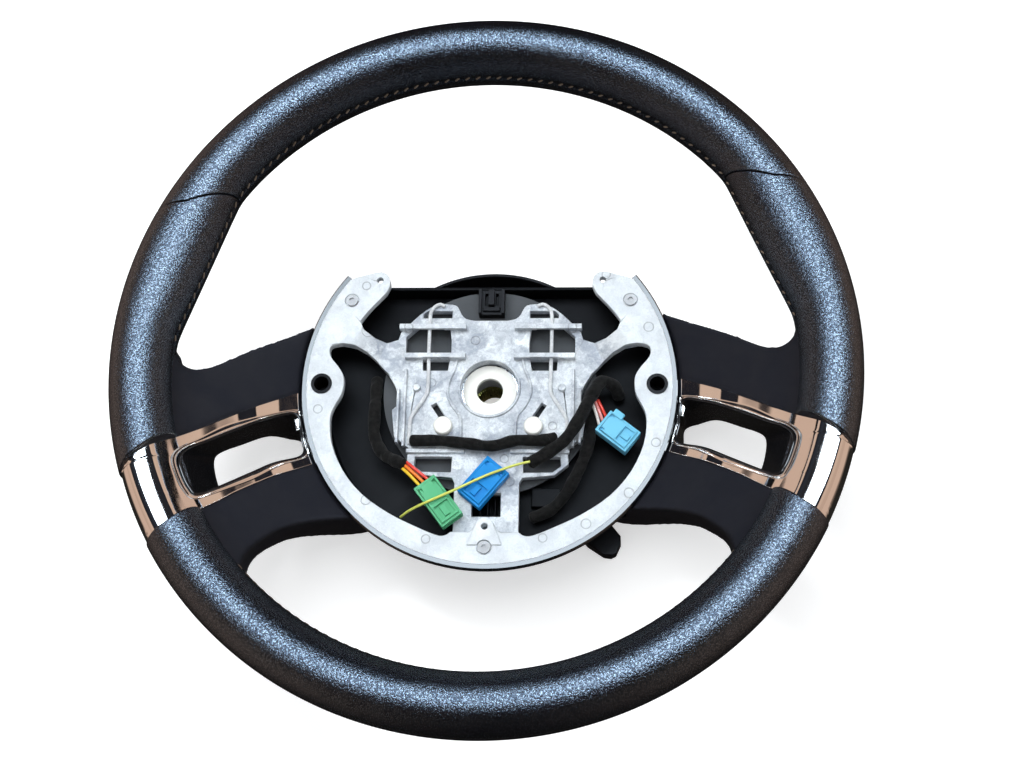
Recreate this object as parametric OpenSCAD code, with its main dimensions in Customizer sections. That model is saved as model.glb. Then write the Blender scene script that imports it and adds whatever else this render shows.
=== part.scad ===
// Car steering wheel with a hub that stands still while the rim turns.
// The rim turns with the steering column. A double pinion carried by the rim's casting runs between
// a gear on the hub and an equal gear on the rear ring, so the hub keeps the angle of the rear ring.
// Frame: the origin is on the steering axis in the plane of the rear ring's flat rear face,
// +Z points to the driver and +Y to the top of the hub.

/* [Rim] */
// Radius of the rim's centre line
rim_r = 174; // [170:0.5:178]
// Height of the rim's centre line above the rear face
rim_z = 92; // [90:0.5:95]
// Half width of the grip across the wheel
grip_w = 16; // [14:0.25:17]
// Half depth of the grip along the axis
grip_d = 20; // [18:0.25:21]
// Thickness of the leather on the grip
leather_t = 1.2; // [0.8:0.1:1.6]
// Angle by which the rim stands turned from the hub
wheel_turn = 2.3; // [-30:0.1:30]
// Angle from the horizontal to the two upper leather seams
seam_a = 31.2; // [28:0.2:36]
// Angle at which the thumb rest starts, above the spoke
thumb_a0 = 6.5; // [4:0.5:8]
// Angle at which the thumb rest ends
thumb_a1 = 36.5; // [30:0.5:40]
// Gap between two leather pieces at a seam
seam_gap = 0.5; // [0.3:0.1:1]

/* [Spokes] */
// Radius of the spokes' end wall beside the hub's trim
spoke_r = 100.8; // [100.6:0.1:102]
// Radius to which the spokes reach in under the hub
tongue_r = 78; // [76:0.5:82]
// Thickness of the bright inserts
insert_t = 2; // [1.5:0.1:2.5]
// Wall of the black lining in each spoke slot
slot_wall = 1.5; // [1:0.1:2]

/* [Hub] */
// Outer radius of the hub's cast ring
ring_r = 97; // [95:0.5:97.4]
// Height of the ring's front face
ring_z = 51; // [50:0.5:52]
// Thickness of the ring
ring_t = 5; // [4:0.25:5.5]
// Height of the cast plate's front face
plate_z = 44; // [43:0.5:45]
// Thickness of the cast plate
plate_t = 5; // [4:0.25:5]
// Radius of the plate's central bore
hub_bore = 15.3; // [15:0.1:16]
// Distance of the two sleeves from the axis
sleeve_x = 88.9; // [87:0.1:90]
// Bore of the two sleeves
sleeve_r = 4; // [3:0.1:4.4]
// Radius of the fixing holes in the three ears
ear_hole = 1.7; // [1:0.1:2]
// Place of the right ear's hole
ear_pos = [60.2, 59.2];
// Height of the bottom ear's hole on the centre line
ear_low = -77.3;
// Width of the black trim round the ring
trim_w = 3; // [2:0.1:3.2]

/* [Gears] */
// Module of the hub-holding gears
gear_m = 1.5; // [1:0.25:1.5]
// Teeth of the hub gear and of the rear ring's gear
sun_teeth = 40; // [38:1:40]
// Teeth of each planet pinion
pinion_teeth = 12; // [10:1:14]
// Face width of the gears
gear_w = 6; // [4:0.5:6]
// Play between two meshing teeth
backlash = 0.3; // [0.15:0.05:0.5]
// Direction of the planet from the axis, on the rim
planet_dir = 90; // [60:1:120]
// Radius of the planet's shaft
planet_r = 3; // [2:0.25:4]

/* [Bearing] */
// Bore radius of the hub's ball bearing
bearing_in = 14; // [13:0.25:14]
// Outer radius of the ball bearing
bearing_out = 22; // [21:0.25:23]
// Width of the ball bearing
bearing_w = 9; // [7:0.5:9]
// Radius of a ball
ball_r = 2.4; // [2:0.1:2.4]
// Balls in the bearing
balls = 14; // [8:1:16]

/* [Column] */
// Radius of the plain guide bore for the steering column
column_r = 8.6; // [8:0.1:9]
// Outer radius of the column bush
bush_r = 11.5; // [11:0.1:12]
// Length of the column bush
bush_len = 18; // [14:0.5:22]
// Length of the plain guide bore at the bush's rear end
guide_len = 8; // [6:0.5:10]
// Splines in the bush
splines = 36; // [24:2:40]

/* [Rear ring] */
// Outer radius of the rear ring
stator_r = 62; // [60:0.5:63]
// Thickness of the rear ring
stator_t = 5; // [4:0.25:5]
// Direction of the locking lug
lug_dir = -50.5; // [-70:0.5:-40]
// Distance from the axis to the lug's tip
lug_tip = 105.5; // [100:0.5:108]
// Height of the lug
lug_h = 9; // [7:0.5:11]

/* [Rear cover] */
// Outer radius of the rear cover
cover_r = 74; // [72:0.5:76]
// Wall of the rear cover
cover_t = 2; // [1.5:0.1:2.5]

/* [Hidden] */
$fn = 96;
// Running clearance of the rear ring on its boss
run_gap = 0.06;
// Gap round a casting that foam is moulded on
bond_gap = 0.1;
// Clearance between parts that are only assembled
fit_gap = 0.05;
// Clearance beside parts that turn past each other
turn_gap = 0.5;
// Height of the armature's plate, its thickness and its top
arm_z = 15;
arm_t = 8;
arm_top = arm_z + arm_t;
// Place and faces of the ball bearing
bearing_z = plate_z - plate_t - 3 - bearing_w;
bearing_top = bearing_z + bearing_w;
// Front of the white washer on the armature's boss
washer_z = bearing_top + 3;
washer_r = hub_bore - 0.9;
boss_r = bearing_in;
// The housing under the cast plate
housing_r = bearing_out + 4;
housing_z = bearing_z - 2.6;
// Snap ring that holds the bearing in its housing
snap_t = 1.2;
snap_r = bearing_out + 0.9;
// Gears
sun_r = gear_m * sun_teeth / 2;
pinion_r = gear_m * pinion_teeth / 2;
mesh_r = sun_r + pinion_r;
front_gear_z = bearing_z;
rear_gear_z = stator_t + 1;
planet_a = planet_dir + wheel_turn;
planet_spin = planet_a + 180 + sun_teeth * planet_a / pinion_teeth - 180 / pinion_teeth;
// Rear ring
stator_hub_r = boss_r + 7;
stator_hub_h = arm_z - 2;
clip_z = 1.4;
clip_t = 1.2;
// Gear cover and tray
gear_skirt_r = mesh_r + pinion_r + gear_m + 1.6;
gear_lid_r = gear_skirt_r + 6.4;
gear_lid_z = bearing_top - 1;
tray_floor = 26;
tray_t = 2;
tray_r = ring_r - 2;
chord_y = 59.5;
// Screws of the ring
screw_at = [[75, 47.5], [-75, 47.5], [0, -88.2]];
screw_r = 3.2;
// Points round a grip section
grip_n = 48;
// Front surface of a spoke and its insert: radius and height
dish = [[100.8, 49.5], [112, 57], [125, 66], [138, 75.2], [150, 84], [158, 91.5], [164, 99.5], [169, 105],
    [174, 108], [179, 108], [184, 104.8], [187.6, 99.5], [189.3, 93], [189.5, 87]];
// Rear surface of a spoke
back_dish = [[78, 13], [100, 13], [112, 21.5], [125, 37], [140, 54], [150, 64], [160, 72.5], [174, 80]];
// Faces of the armature's arms
arm_low = [[20, arm_z], [98, arm_z], [110, 24.5], [125, 41.5], [140, 58], [150, 68], [160, 77], [174, 86]];
arm_high = [[174, 96], [160, 87], [150, 78], [140, 68], [125, 51.5], [110, 34], [100, arm_top], [20, arm_top]];

// Points of an arc of radius r from angle a0 to a1
function arc(r, a0, a1, n = 12, c = [0, 0]) =
    [for (i = [0:n]) c + r * [cos(a0 + (a1 - a0) * i / n), sin(a0 + (a1 - a0) * i / n)]];
function flip(p) = [for (i = [len(p) - 1:-1:0]) p[i]];
function other_side(p) = [for (q = p) [-q[0], q[1]]];
// One point of a smooth curve between b and c
function blend(a, b, c, d, t) =
    0.5 * (2 * b + t * (c - a) + t * t * (2 * a - 5 * b + 4 * c - d) + t * t * t * (3 * b - a - 3 * c + d));
// A smooth open curve through the points p, with n steps to a span
function curve(p, n = 3) = concat(
    [for (i = [0:len(p) - 2], k = [0:n - 1])
        blend(p[max(i - 1, 0)], p[i], p[i + 1], p[min(i + 2, len(p) - 1)], k / n)],
    [p[len(p) - 1]]);
// A smooth closed curve through the points p
function loop(p, n = 3) = let (m = len(p))
    [for (i = [0:m - 1], k = [0:n - 1]) blend(p[(i + m - 1) % m], p[i], p[(i + 1) % m], p[(i + 2) % m], k / n)];
// The outline of a strip of width w along the points p
function unit(v) = v / norm(v);
function side(p, i) = let (d = unit(p[min(i + 1, len(p) - 1)] - p[max(i - 1, 0)])) [-d[1], d[0]];
// The direction square to a closed outline at point i, to the left of its run
function turn(p, i) = let (m = len(p), d = unit(p[(i + 1) % m] - p[(i + m - 1) % m])) [-d[1], d[0]];
function strip(p, w) = concat([for (i = [0:len(p) - 1]) p[i] + side(p, i) * w / 2],
    flip([for (i = [0:len(p) - 1]) p[i] - side(p, i) * w / 2]));

// A closed tube of radius r along the points p, with n sides
module tube(p, r, n = 8) {
    m = len(p);
    dirs = [for (i = [0:m - 1]) unit(p[min(i + 1, m - 1)] - p[max(i - 1, 0)])];
    rings = [for (i = [0:m - 1]) let (
            u = unit(cross(dirs[i], abs(dirs[i][2]) > 0.9 ? [1, 0, 0] : [0, 0, 1])),
            v = cross(u, dirs[i]))
        [for (k = [0:n - 1]) p[i] + r * (cos(360 * k / n) * u + sin(360 * k / n) * v)]];
    points = concat([for (ring = rings) each ring], [p[0], p[m - 1]]);
    walls = [for (i = [0:m - 2], k = [0:n - 1]) each let (
            a = i * n + k, b = i * n + (k + 1) % n)
        [[a, b, b + n], [a, b + n, a + n]]];
    first = [for (k = [0:n - 1]) [m * n, (k + 1) % n, k]];
    last = [for (k = [0:n - 1]) [m * n + 1, (m - 1) * n + k, (m - 1) * n + (k + 1) % n]];
    polyhedron(points, [for (f = concat(walls, first, last)) [f[0], f[2], f[1]]]);
}

// The rim's frame stands turned from the hub's
module on_rim() {
    rotate([0, 0, wheel_turn]) children();
}

// Angles, as fractions of a tooth's angular pitch, on the two flanks of an involute tooth
pressure_a = 25;
function inv(a) = tan(a) * 180 / PI - a;
function flank(teeth, r) = let (
        rb = gear_m * teeth / 2 * cos(pressure_a),
        half = 90 / teeth - backlash / 2 / (gear_m * teeth / 2) * 90 / PI)
    half + inv(pressure_a) - inv(acos(min(1, rb / max(r, rb))));
function gear_points(teeth) = let (
        rp = gear_m * teeth / 2,
        root = rp - 1.2 * gear_m,
        base = max(root + 0.2, rp * cos(pressure_a)),
        tip = rp + 0.95 * gear_m,
        radii = [for (i = [0:4]) base + (tip - base) * i / 4])
    [for (t = [0:teeth - 1]) each let (c = 360 * t / teeth) concat(
        [root * [cos(c - flank(teeth, base)), sin(c - flank(teeth, base))]],
        [for (r = radii) r * [cos(c - flank(teeth, r)), sin(c - flank(teeth, r))]],
        [for (r = flip(radii)) r * [cos(c + flank(teeth, r)), sin(c + flank(teeth, r))]],
        [root * [cos(c + flank(teeth, base)), sin(c + flank(teeth, base))]])];

// Grip: an oval section turned round the axis, with a straight thumb rest on each side
function grip_section(off, d = grip_d) =
    [for (i = [0:grip_n - 1]) [(grip_w + off) * cos(360 * i / grip_n), (d + off) * sin(360 * i / grip_n)]];
module grip_ring(off, a0, a1) {
    rotate([0, 0, a0]) translate([0, 0, rim_z])
        rotate_extrude(angle = a1 - a0) translate([rim_r, 0]) polygon(grip_section(off));
}
// The thumb rests are this much less deep than the grip
thumb_low = 0.6;
// And they sit this much lower, so that no corner of theirs meets one of the grip's
thumb_down = 0.5;
module thumb_rest(off) {
    half = (thumb_a1 - thumb_a0) / 2;
    rotate([0, 0, thumb_a0 + half]) translate([rim_r * cos(half), 0, rim_z - thumb_down]) rotate([90, 0, 0])
        linear_extrude(2 * rim_r * sin(half), center = true) polygon(grip_section(off, grip_d - thumb_low));
}

// Outline of the right spoke, from its lower inner corner round to its upper one
spoke_low = [[55, -66], [70, -69.5], [83, -72], [91, -74], [98, -76.5], [105.6, -80.2], [111, -85],
    [116.5, -91], [119.5, -97], [120.5, -104]];
spoke_high = [[159, 14], [157.8, 8.5], [155, 4.8], [150, 3.4], [144, 5.2], [138, 9], [125, 18.5], [106, 29.8],
    [94, 37], [62, 55]];
module spoke_outline() {
    polygon(concat(curve(spoke_low, 2), arc(rim_r - 1, -41, 5, 16), curve(spoke_high, 2)));
}
module dish_band() {
    shelf = ring_z - ring_t - turn_gap - 0.1;
    inner = ring_r + 0.6;
    rotate_extrude() polygon(concat(
        [[tongue_r, tray_floor - 1.7], [inner, tray_floor - 1.7], [inner, shelf], [spoke_r, shelf]],
        curve([for (i = [0:7]) [dish[i][0], min(dish[i][1], 103)]], 2), [[174, 103]],
        flip(curve(back_dish, 2))));
}
// The see-through slot: the front and rear outlines of its wall
slot_front = [[101.6, -14.2], [108.5, -14.8], [125, -24.2], [141, -35.4], [149, -41.4], [152, -47.5],
    [149.6, -56], [146, -63], [142.8, -65], [134, -58.9], [112, -42.7], [98.6, -35.5], [99.6, -26]];
slot_back = [[103.4, -17.8], [110, -17], [121.5, -20.6], [134, -30], [141.6, -36.5], [144, -42],
    [142.6, -49], [140, -55.5], [137.4, -58], [131, -54.5], [112, -40.4], [101.6, -34.4], [102, -26]];
// The slot's space, its wall moved out by off, carried on past both faces of the spoke
module slot_plug(off) {
    n = 2;
    front = loop(slot_front, n);
    rear = loop(slot_back, n);
    m = len(front);
    mid = [125, -38];
    drop = 25;
    up = 0.6;
    down = 1.65;
    top = [for (i = [0:m - 1]) let (q = front[i] + (front[i] - rear[i]) * up + off * turn(front, i))
        [q[0], q[1], lookup(norm(front[i]), dish) + drop * up]];
    low = [for (i = [0:m - 1]) let (q = front[i] + (rear[i] - front[i]) * down + off * turn(front, i))
        [q[0], q[1], lookup(norm(front[i]), dish) - drop * down]];
    points = concat(low, top, [[mid[0], mid[1], 66 - drop * down], [mid[0], mid[1], 66 + drop * up]]);
    walls = [for (i = [0:m - 1]) each let (j = (i + 1) % m) [[i, j, j + m], [i, j + m, i + m]]];
    caps = [for (i = [0:m - 1]) each let (j = (i + 1) % m) [[2 * m, j, i], [2 * m + 1, i + m, j + m]]];
    polyhedron(points, concat(walls, caps));
}
// Outline of the right insert, and the height of its lowest edge on the rim's outer side
insert_low_z = dish[len(dish) - 1][1];
insert_high = [[96, 3], [104.6, -2.2], [118.7, -10.5], [133.5, -20], [151, -33], [165.3, -44.4], [172, -49],
    [178.5, -54], [183, -58.5]];
insert_low = [[167, -93], [163.4, -91], [157, -86.7], [150, -82], [134, -68], [126.6, -61.5], [111.5, -50.7],
    [95.4, -41.8], [88, -38]];
module insert_outline() {
    polygon(concat(flip(insert_high), flip(insert_low), [[200, -104], [206, -66]]));
}
module right_or_left(s) {
    if (s > 0) children();
    else mirror([1, 0, 0]) children();
}
// The dish's points moved in by a depth, square to the surface
function under_dish(depth) = [for (i = [0:len(dish) - 1])
    let (d = side(dish, i)) dish[i] - depth * d];
module above_dish(depth) {
    rotate_extrude() polygon(concat([[98, 47]], curve(under_dish(depth), 2), [[205, 87 - depth], [205, 130],
        [98, 130]]));
}
module insert_space(depth) {
    intersection() {
        linear_extrude(130) insert_outline();
        above_dish(depth);
    }
}

// Armature
arm_upper = [[40, 22], [60, 26], [97, 24], [106, 18.5], [125, 7.5], [140, -2], [158, -9], [174, -10], [172, -32],
    [158, -35.5], [143, -27.5], [124, -14.8], [108, -6.5], [97, -5], [60, -10], [40, -4]];
arm_lower = [[42, -6], [60, -12], [97, -42], [108, -47], [124, -58.5], [139, -71.5], [156, -74], [148, -94],
    [133, -88], [113, -73], [97, -64], [60, -58], [30, -34]];
module arm_band(off) {
    rotate_extrude() polygon(concat([for (p = arm_low) p - [0, off]], [for (p = arm_high) p + [0, off]]));
}
module arms(off) {
    intersection() {
        arm_band(off);
        linear_extrude(120) union() {
            for (s = [1, -1]) right_or_left(s) {
                polygon(arm_upper);
                polygon(arm_lower);
            }
        }
    }
}
rim_core_r = 5.5;
module rim_core(off) {
    translate([0, 0, rim_z]) rotate_extrude() translate([rim_r, 0]) circle(rim_core_r + off, $fn = 48);
}
cover_screw_at = [[64, 14], [-64, 14], [64, -34], [-64, -34]];
module armature() {
    color("#9a9ca0") on_rim() difference() {
        union() {
            rim_core(0);
            arms(0);
            translate([0, 0, arm_z]) cylinder(r = mesh_r + 10, h = arm_t);
            translate([0, 0, clip_z - 0.6]) cylinder(r = boss_r, h = bearing_top - clip_z + 0.6);
            translate([0, 0, arm_top - 1]) cylinder(r = bearing_in + 3, h = bearing_z - arm_top + 1);
        }
        translate([0, 0, -1]) cylinder(r = bush_r, h = bush_len + clip_z + 1.4);
        translate([0, 0, -1]) cylinder(r = bush_r - 2.5, h = 60);
        rotate([0, 0, planet_dir]) translate([mesh_r, 0, arm_z - 1]) cylinder(r = planet_r + 2, h = arm_t + 2);
        translate([0, 0, clip_z - fit_gap]) difference() {
            cylinder(r = boss_r + 1, h = clip_t + 2 * fit_gap);
            translate([0, 0, -1]) cylinder(r = boss_r - 1.1, h = clip_t + 3);
        }
        for (p = cover_screw_at) translate([p[0], p[1], arm_z - 1]) cylinder(r = 1.6, h = 7);
    }
}
module column_bush() {
    z0 = clip_z - 0.6 + 0.4;
    color("#8b8a3c") on_rim() difference() {
        translate([0, 0, z0]) cylinder(r = bush_r - fit_gap / 5, h = bush_len);
        translate([0, 0, z0 - 1]) cylinder(r = column_r, h = guide_len + 1);
        translate([0, 0, z0 + guide_len - 1]) linear_extrude(bush_len) polygon(
            [for (i = [0:splines - 1], k = [0:3])
                let (a = 360 * (i + [0.04, 0.34, 0.5, 0.88][k]) / splines, r = column_r - [0.15, 0.15, 0.9, 0.9][k])
                r * [cos(a), sin(a)]]);
        for (a = [-10, 10]) rotate([0, 0, 90 + a]) translate([bush_r - 3.6, -0.7, z0 + 3.5]) cube([5, 1.4, 3.2]);
    }
}

module rim_foam() {
    color("#17181a") on_rim() difference() {
        union() {
            translate([0, 0, rim_z]) rotate_extrude() translate([rim_r, 0]) polygon(grip_section(-leather_t));
            for (s = [1, -1]) right_or_left(s) {
                thumb_rest(-leather_t);
                intersection() {
                    linear_extrude(130) spoke_outline();
                    dish_band();
                }
            }
        }
        rim_core(bond_gap);
        arms(bond_gap);
        for (s = [1, -1]) right_or_left(s) {
            insert_space(insert_t);
            slot_plug(slot_wall);
        }
    }
}
module spoke_body() {
    intersection() {
        linear_extrude(130) spoke_outline();
        dish_band();
    }
}
// Leather on the grip from angle a0 to a1, clear of the spokes and inserts of the sides named
module leather(a0, a1, spokes, thumbs, inserts) {
    color("#1d1f23") on_rim() difference() {
        union() {
            grip_ring(0, a0, a1);
            for (s = thumbs) intersection() {
                right_or_left(s) thumb_rest(0);
                translate([0, 0, rim_z - 30]) linear_extrude(60)
                    polygon(concat([[0, 0]], arc(rim_r + 60, a0, a1, 16)));
            }
        }
        translate([0, 0, rim_z]) rotate_extrude() translate([rim_r, 0]) polygon(grip_section(-leather_t));
        for (s = thumbs) right_or_left(s) thumb_rest(-leather_t);
        for (s = spokes) right_or_left(s) spoke_body();
        for (s = inserts) right_or_left(s)
            translate([0, 0, insert_low_z - bond_gap]) linear_extrude(50) insert_outline();
    }
}
seam_half = seam_gap / 2 / rim_r * 180 / PI;
// Angle of the seam that lies hidden behind the inserts
side_end = -23;
module leather_top() {
    leather(seam_a + seam_half, 180 - seam_a - seam_half, [], [1, -1], []);
}
module leather_right() {
    leather(side_end + seam_half, seam_a - seam_half, [1], [1], [1]);
}
module leather_left() {
    leather(180 - seam_a + seam_half, 180 - side_end - seam_half, [-1], [-1], [-1]);
}
module leather_bottom() {
    leather(180 - side_end + seam_half, 360 + side_end - seam_half, [1, -1], [], [1, -1]);
}

module insert(s) {
    color("#c9ccd1") on_rim() right_or_left(s) difference() {
        intersection() {
            linear_extrude(130) insert_outline();
            rotate_extrude() polygon(concat(curve(dish, 2), flip(curve(under_dish(insert_t - fit_gap), 2))));
        }
        slot_plug(slot_wall);
    }
}
module insert_right() {
    insert(1);
}
module insert_left() {
    insert(-1);
}
module slot_lining(s) {
    color("#0b0c0e") on_rim() right_or_left(s) difference() {
        intersection() {
            slot_plug(slot_wall - fit_gap);
            rotate_extrude() polygon(concat([[spoke_r + 0.1, 49.4]], curve(dish, 2), [[174, 80]],
                flip(curve([for (i = [1:7]) back_dish[i]], 2))));
        }
        slot_plug(0);
    }
}
module slot_lining_right() {
    slot_lining(1);
}
module slot_lining_left() {
    slot_lining(-1);
}

module rear_cover() {
    z0 = stator_t + 1.5;
    color("#26282b") on_rim() difference() {
        union() {
            rotate_extrude() polygon([[52, z0], [cover_r - 6, z0], [cover_r - 1.5, z0 + 3], [cover_r, z0 + 8],
                [cover_r, tray_floor - 1.7], [cover_r - cover_t, tray_floor - 1.7], [cover_r - cover_t, z0 + 8],
                [cover_r - cover_t - 1.4, z0 + 4], [cover_r - 7, z0 + cover_t], [52, z0 + cover_t]]);
            for (p = cover_screw_at) translate([p[0], p[1], z0 + 1]) cylinder(r = 4, h = arm_z - z0 - 1);
        }
        for (p = cover_screw_at) translate([p[0], p[1], z0 - 1]) {
            cylinder(r = 1.8, h = 12);
            cylinder(r = 3.6, h = 3.4);
        }
        arms(0.3);
    }
}
module cover_screws() {
    z0 = stator_t + 1.5;
    color("#8f9296") on_rim() for (p = cover_screw_at) translate([p[0], p[1], z0]) {
        translate([0, 0, 0.2]) cylinder(r = 3.3, h = 2.2);
        cylinder(r = 1.55, h = arm_z - z0 + 5);
    }
}

module race_groove() {
    r = (bearing_in + bearing_out) / 2;
    translate([0, 0, bearing_z + bearing_w / 2]) rotate_extrude() translate([r, 0]) circle(ball_r + 0.08, $fn = 32);
}
module bearing_inner_race() {
    color("#b5b8bc") on_rim() difference() {
        translate([0, 0, bearing_z]) cylinder(r = bearing_in + 2.6, h = bearing_w);
        translate([0, 0, bearing_z - 1]) cylinder(r = bearing_in, h = bearing_w + 2);
        race_groove();
    }
}
module bearing_outer_race() {
    color("#b5b8bc") difference() {
        translate([0, 0, bearing_z]) cylinder(r = bearing_out, h = bearing_w);
        translate([0, 0, bearing_z - 1]) cylinder(r = bearing_out - 2.6, h = bearing_w + 2);
        race_groove();
    }
}
module bearing_balls() {
    r = (bearing_in + bearing_out) / 2;
    color("#c5c8cc") for (i = [0:balls - 1]) rotate([0, 0, 360 * i / balls])
        translate([r, 0, bearing_z + bearing_w / 2]) sphere(ball_r, $fn = 24);
}
module bearing_circlip() {
    color("#7d8084") translate([0, 0, bearing_z - snap_t - fit_gap]) difference() {
        cylinder(r = snap_r - fit_gap, h = snap_t);
        translate([0, 0, -1]) cylinder(r = bearing_out - 2, h = snap_t + 2);
        translate([0, -4, -1]) cube([40, 8, snap_t + 2]);
    }
}
module boss_washer() {
    color("#f2f2ee") on_rim() translate([0, 0, bearing_top]) difference() {
        cylinder(r = washer_r, h = washer_z - bearing_top);
        translate([0, 0, -1]) intersection() {
            cylinder(r = 7, h = 6);
            cylinder(r = 7.6, h = 6, $fn = 8);
        }
    }
}

module at_planet() {
    rotate([0, 0, planet_a]) translate([mesh_r, 0, 0]) rotate([0, 0, planet_spin - planet_a]) children();
}
module planet_bush() {
    color("#b08d4a") rotate([0, 0, planet_a]) translate([mesh_r, 0, arm_z]) difference() {
        cylinder(r = planet_r + 2, h = arm_t);
        translate([0, 0, -1]) cylinder(r = planet_r + run_gap, h = arm_t + 2);
    }
}
module planet_shaft() {
    color("#a7aaae") at_planet() translate([0, 0, rear_gear_z]) cylinder(r = planet_r, h = front_gear_z + gear_w - rear_gear_z);
}
module front_pinion() {
    z0 = arm_top + 0.3;
    color("#e4e1d6") at_planet() difference() {
        union() {
            translate([0, 0, front_gear_z]) linear_extrude(gear_w) polygon(gear_points(pinion_teeth));
            translate([0, 0, z0]) cylinder(r = planet_r + 2, h = front_gear_z - z0 + 1);
        }
        translate([0, 0, z0 - 1]) cylinder(r = planet_r, h = 30);
    }
}
module rear_pinion() {
    color("#e4e1d6") at_planet() difference() {
        union() {
            translate([0, 0, rear_gear_z]) linear_extrude(gear_w) polygon(gear_points(pinion_teeth));
            translate([0, 0, rear_gear_z]) cylinder(r = planet_r + 2, h = arm_z - 0.3 - rear_gear_z);
        }
        translate([0, 0, rear_gear_z - 1]) cylinder(r = planet_r, h = 30);
    }
}
module hub_gear() {
    color("#e4e1d6") translate([0, 0, front_gear_z]) difference() {
        linear_extrude(gear_w) polygon(gear_points(sun_teeth));
        translate([0, 0, -1]) cylinder(r = housing_r, h = gear_w + 2);
    }
}
lug_outline = concat([[stator_r - 12, -9.5]], [for (q = [[13.5, -8.3], [3.5, -5.2], [0.7, -2.6], [0, 0.4], [2.8, 6],
        [5.8, 8.3], [14.5, 8.4]]) [lug_tip - q[0], q[1]]], [[stator_r - 12, 9.5]]);
module stator_ring() {
    color("#141516") difference() {
        union() {
            cylinder(r = stator_r, h = stator_t);
            cylinder(r = stator_hub_r, h = stator_hub_h);
            translate([0, 0, stator_t - 1]) cylinder(r = sun_r - 1.2 * gear_m - 0.2, h = rear_gear_z - stator_t + 1);
            translate([0, 0, rear_gear_z]) linear_extrude(gear_w) polygon(gear_points(sun_teeth));
            intersection() {
                rotate([0, 0, lug_dir]) linear_extrude(lug_h) polygon(lug_outline);
                rotate_extrude() polygon([[40, 0], [110, 0], [110, lug_h], [cover_r + 3.6, lug_h],
                    [cover_r + 2.9, stator_t], [40, stator_t]]);
            }
        }
        translate([0, 0, -1]) cylinder(r = boss_r + run_gap, h = 30);
        translate([0, 0, -1]) cylinder(r = boss_r + 3.4, h = clip_z + clip_t + 1.4);
        translate([0, 0, stator_t]) difference() {
            cylinder(r = sun_r - 1.2 * gear_m - 2, h = 20);
            translate([0, 0, -1]) cylinder(r = stator_hub_r, h = 30);
        }
    }
}
module retaining_clip() {
    color("#6b6e72") on_rim() translate([0, 0, clip_z]) difference() {
        cylinder(r = boss_r + 2.4, h = clip_t);
        translate([0, 0, -1]) cylinder(r = boss_r - 1.05, h = 4);
        translate([0, -1.5, -1]) cube([30, 3, 4]);
    }
}

// Hub casting: the left half of each outline, from the top down
ear_left = [[-54.6, 57.5], [-55.6, 61.4], [-59.6, 64.1], [-66, 62.8], [-72.5, 61]];
ring_outer = concat(curve(ear_left, 2), arc(ring_r, 142, 270, 40));
ring_inner = concat(curve([[-54.6, 56.4], [-56.6, 51.8], [-62.6, 45.2], [-69, 37], [-72.5, 30], [-77, 24.4]], 2),
    curve([[-81, 22.6], [-85.2, 20.8], [-85, 15.6], [-80.6, 10], [-77.6, 5], [-77, 0], [-78, -6], [-81.6, -13],
        [-83.2, -20], [-81.6, -33], [-75.2, -47.3], [-64.5, -60.2], [-50.1, -70.3], [-35.9, -77.3], [-25, -81.8],
        [-20.4, -82], [-17.6, -80.2]], 3),
    curve([[-9, -80.6], [-6.2, -79], [-4.6, -75.4], [0, -73.2]], 2));
module ring_outline() {
    polygon(concat(ring_outer, flip(other_side(ring_outer)), other_side(ring_inner), flip(ring_inner)));
}
plate_edge = concat([[0, 38.4]], curve([[-8.8, 38.4], [-13.4, 39.4], [-16, 42], [-18, 46], [-21, 47.7],
        [-29.3, 47.6], [-36, 44], [-42, 38.5], [-48.5, 31.6]], 2), [[-52, 20], [-56, 11]],
    curve([[-53.4, 6], [-50.4, 1], [-48.8, -5], [-49, -10]], 2), [[-51.6, -12.4], [-49.8, -27.2], [-42, -33.2],
        [-42.6, -41.9], [-35.2, -48], [-18.5, -49.5], [-17, -52], [-17, -80]]);
module plate_outline() {
    polygon(concat(plate_edge, flip(other_side(plate_edge))));
}
arm_edge = [[-74, 40], [-69.6, 35], [-68, 31.2], [-62, 27.2], [-56, 25.3], [-50, 27.4], [-44, 16], [-50, 4],
    [-56.6, 10.2], [-61, 15.2], [-65.8, 19.2], [-72, 22.2], [-79, 23], [-86, 22], [-88, 34]];
top_window = [[21, 39.8], [36.5, 39.8], [36.5, 42], [34.5, 43.9], [21, 43.9]];
mid_window = [[21, 19.6], [45.5, 19.6], [45.5, 29], [39, 35], [22, 35], [21, 27]];
low_window = [[22.5, 9.8], [35.8, 9.8], [36.3, 16.2], [21.5, 16.2]];
foot_window = [[18.6, -38], [38.2, -38], [38.6, -43], [34.4, -46.3], [19, -46.6]];
slot_window = strip([[29.4, -9], [24.6, -16.4]], 3.2);
rib_path = [[17.5, 17], [18.6, 11], [21.4, 4], [22.2, -3], [19.4, -10], [15.6, -15], [14.4, -21], [14.4, -32]];
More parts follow.
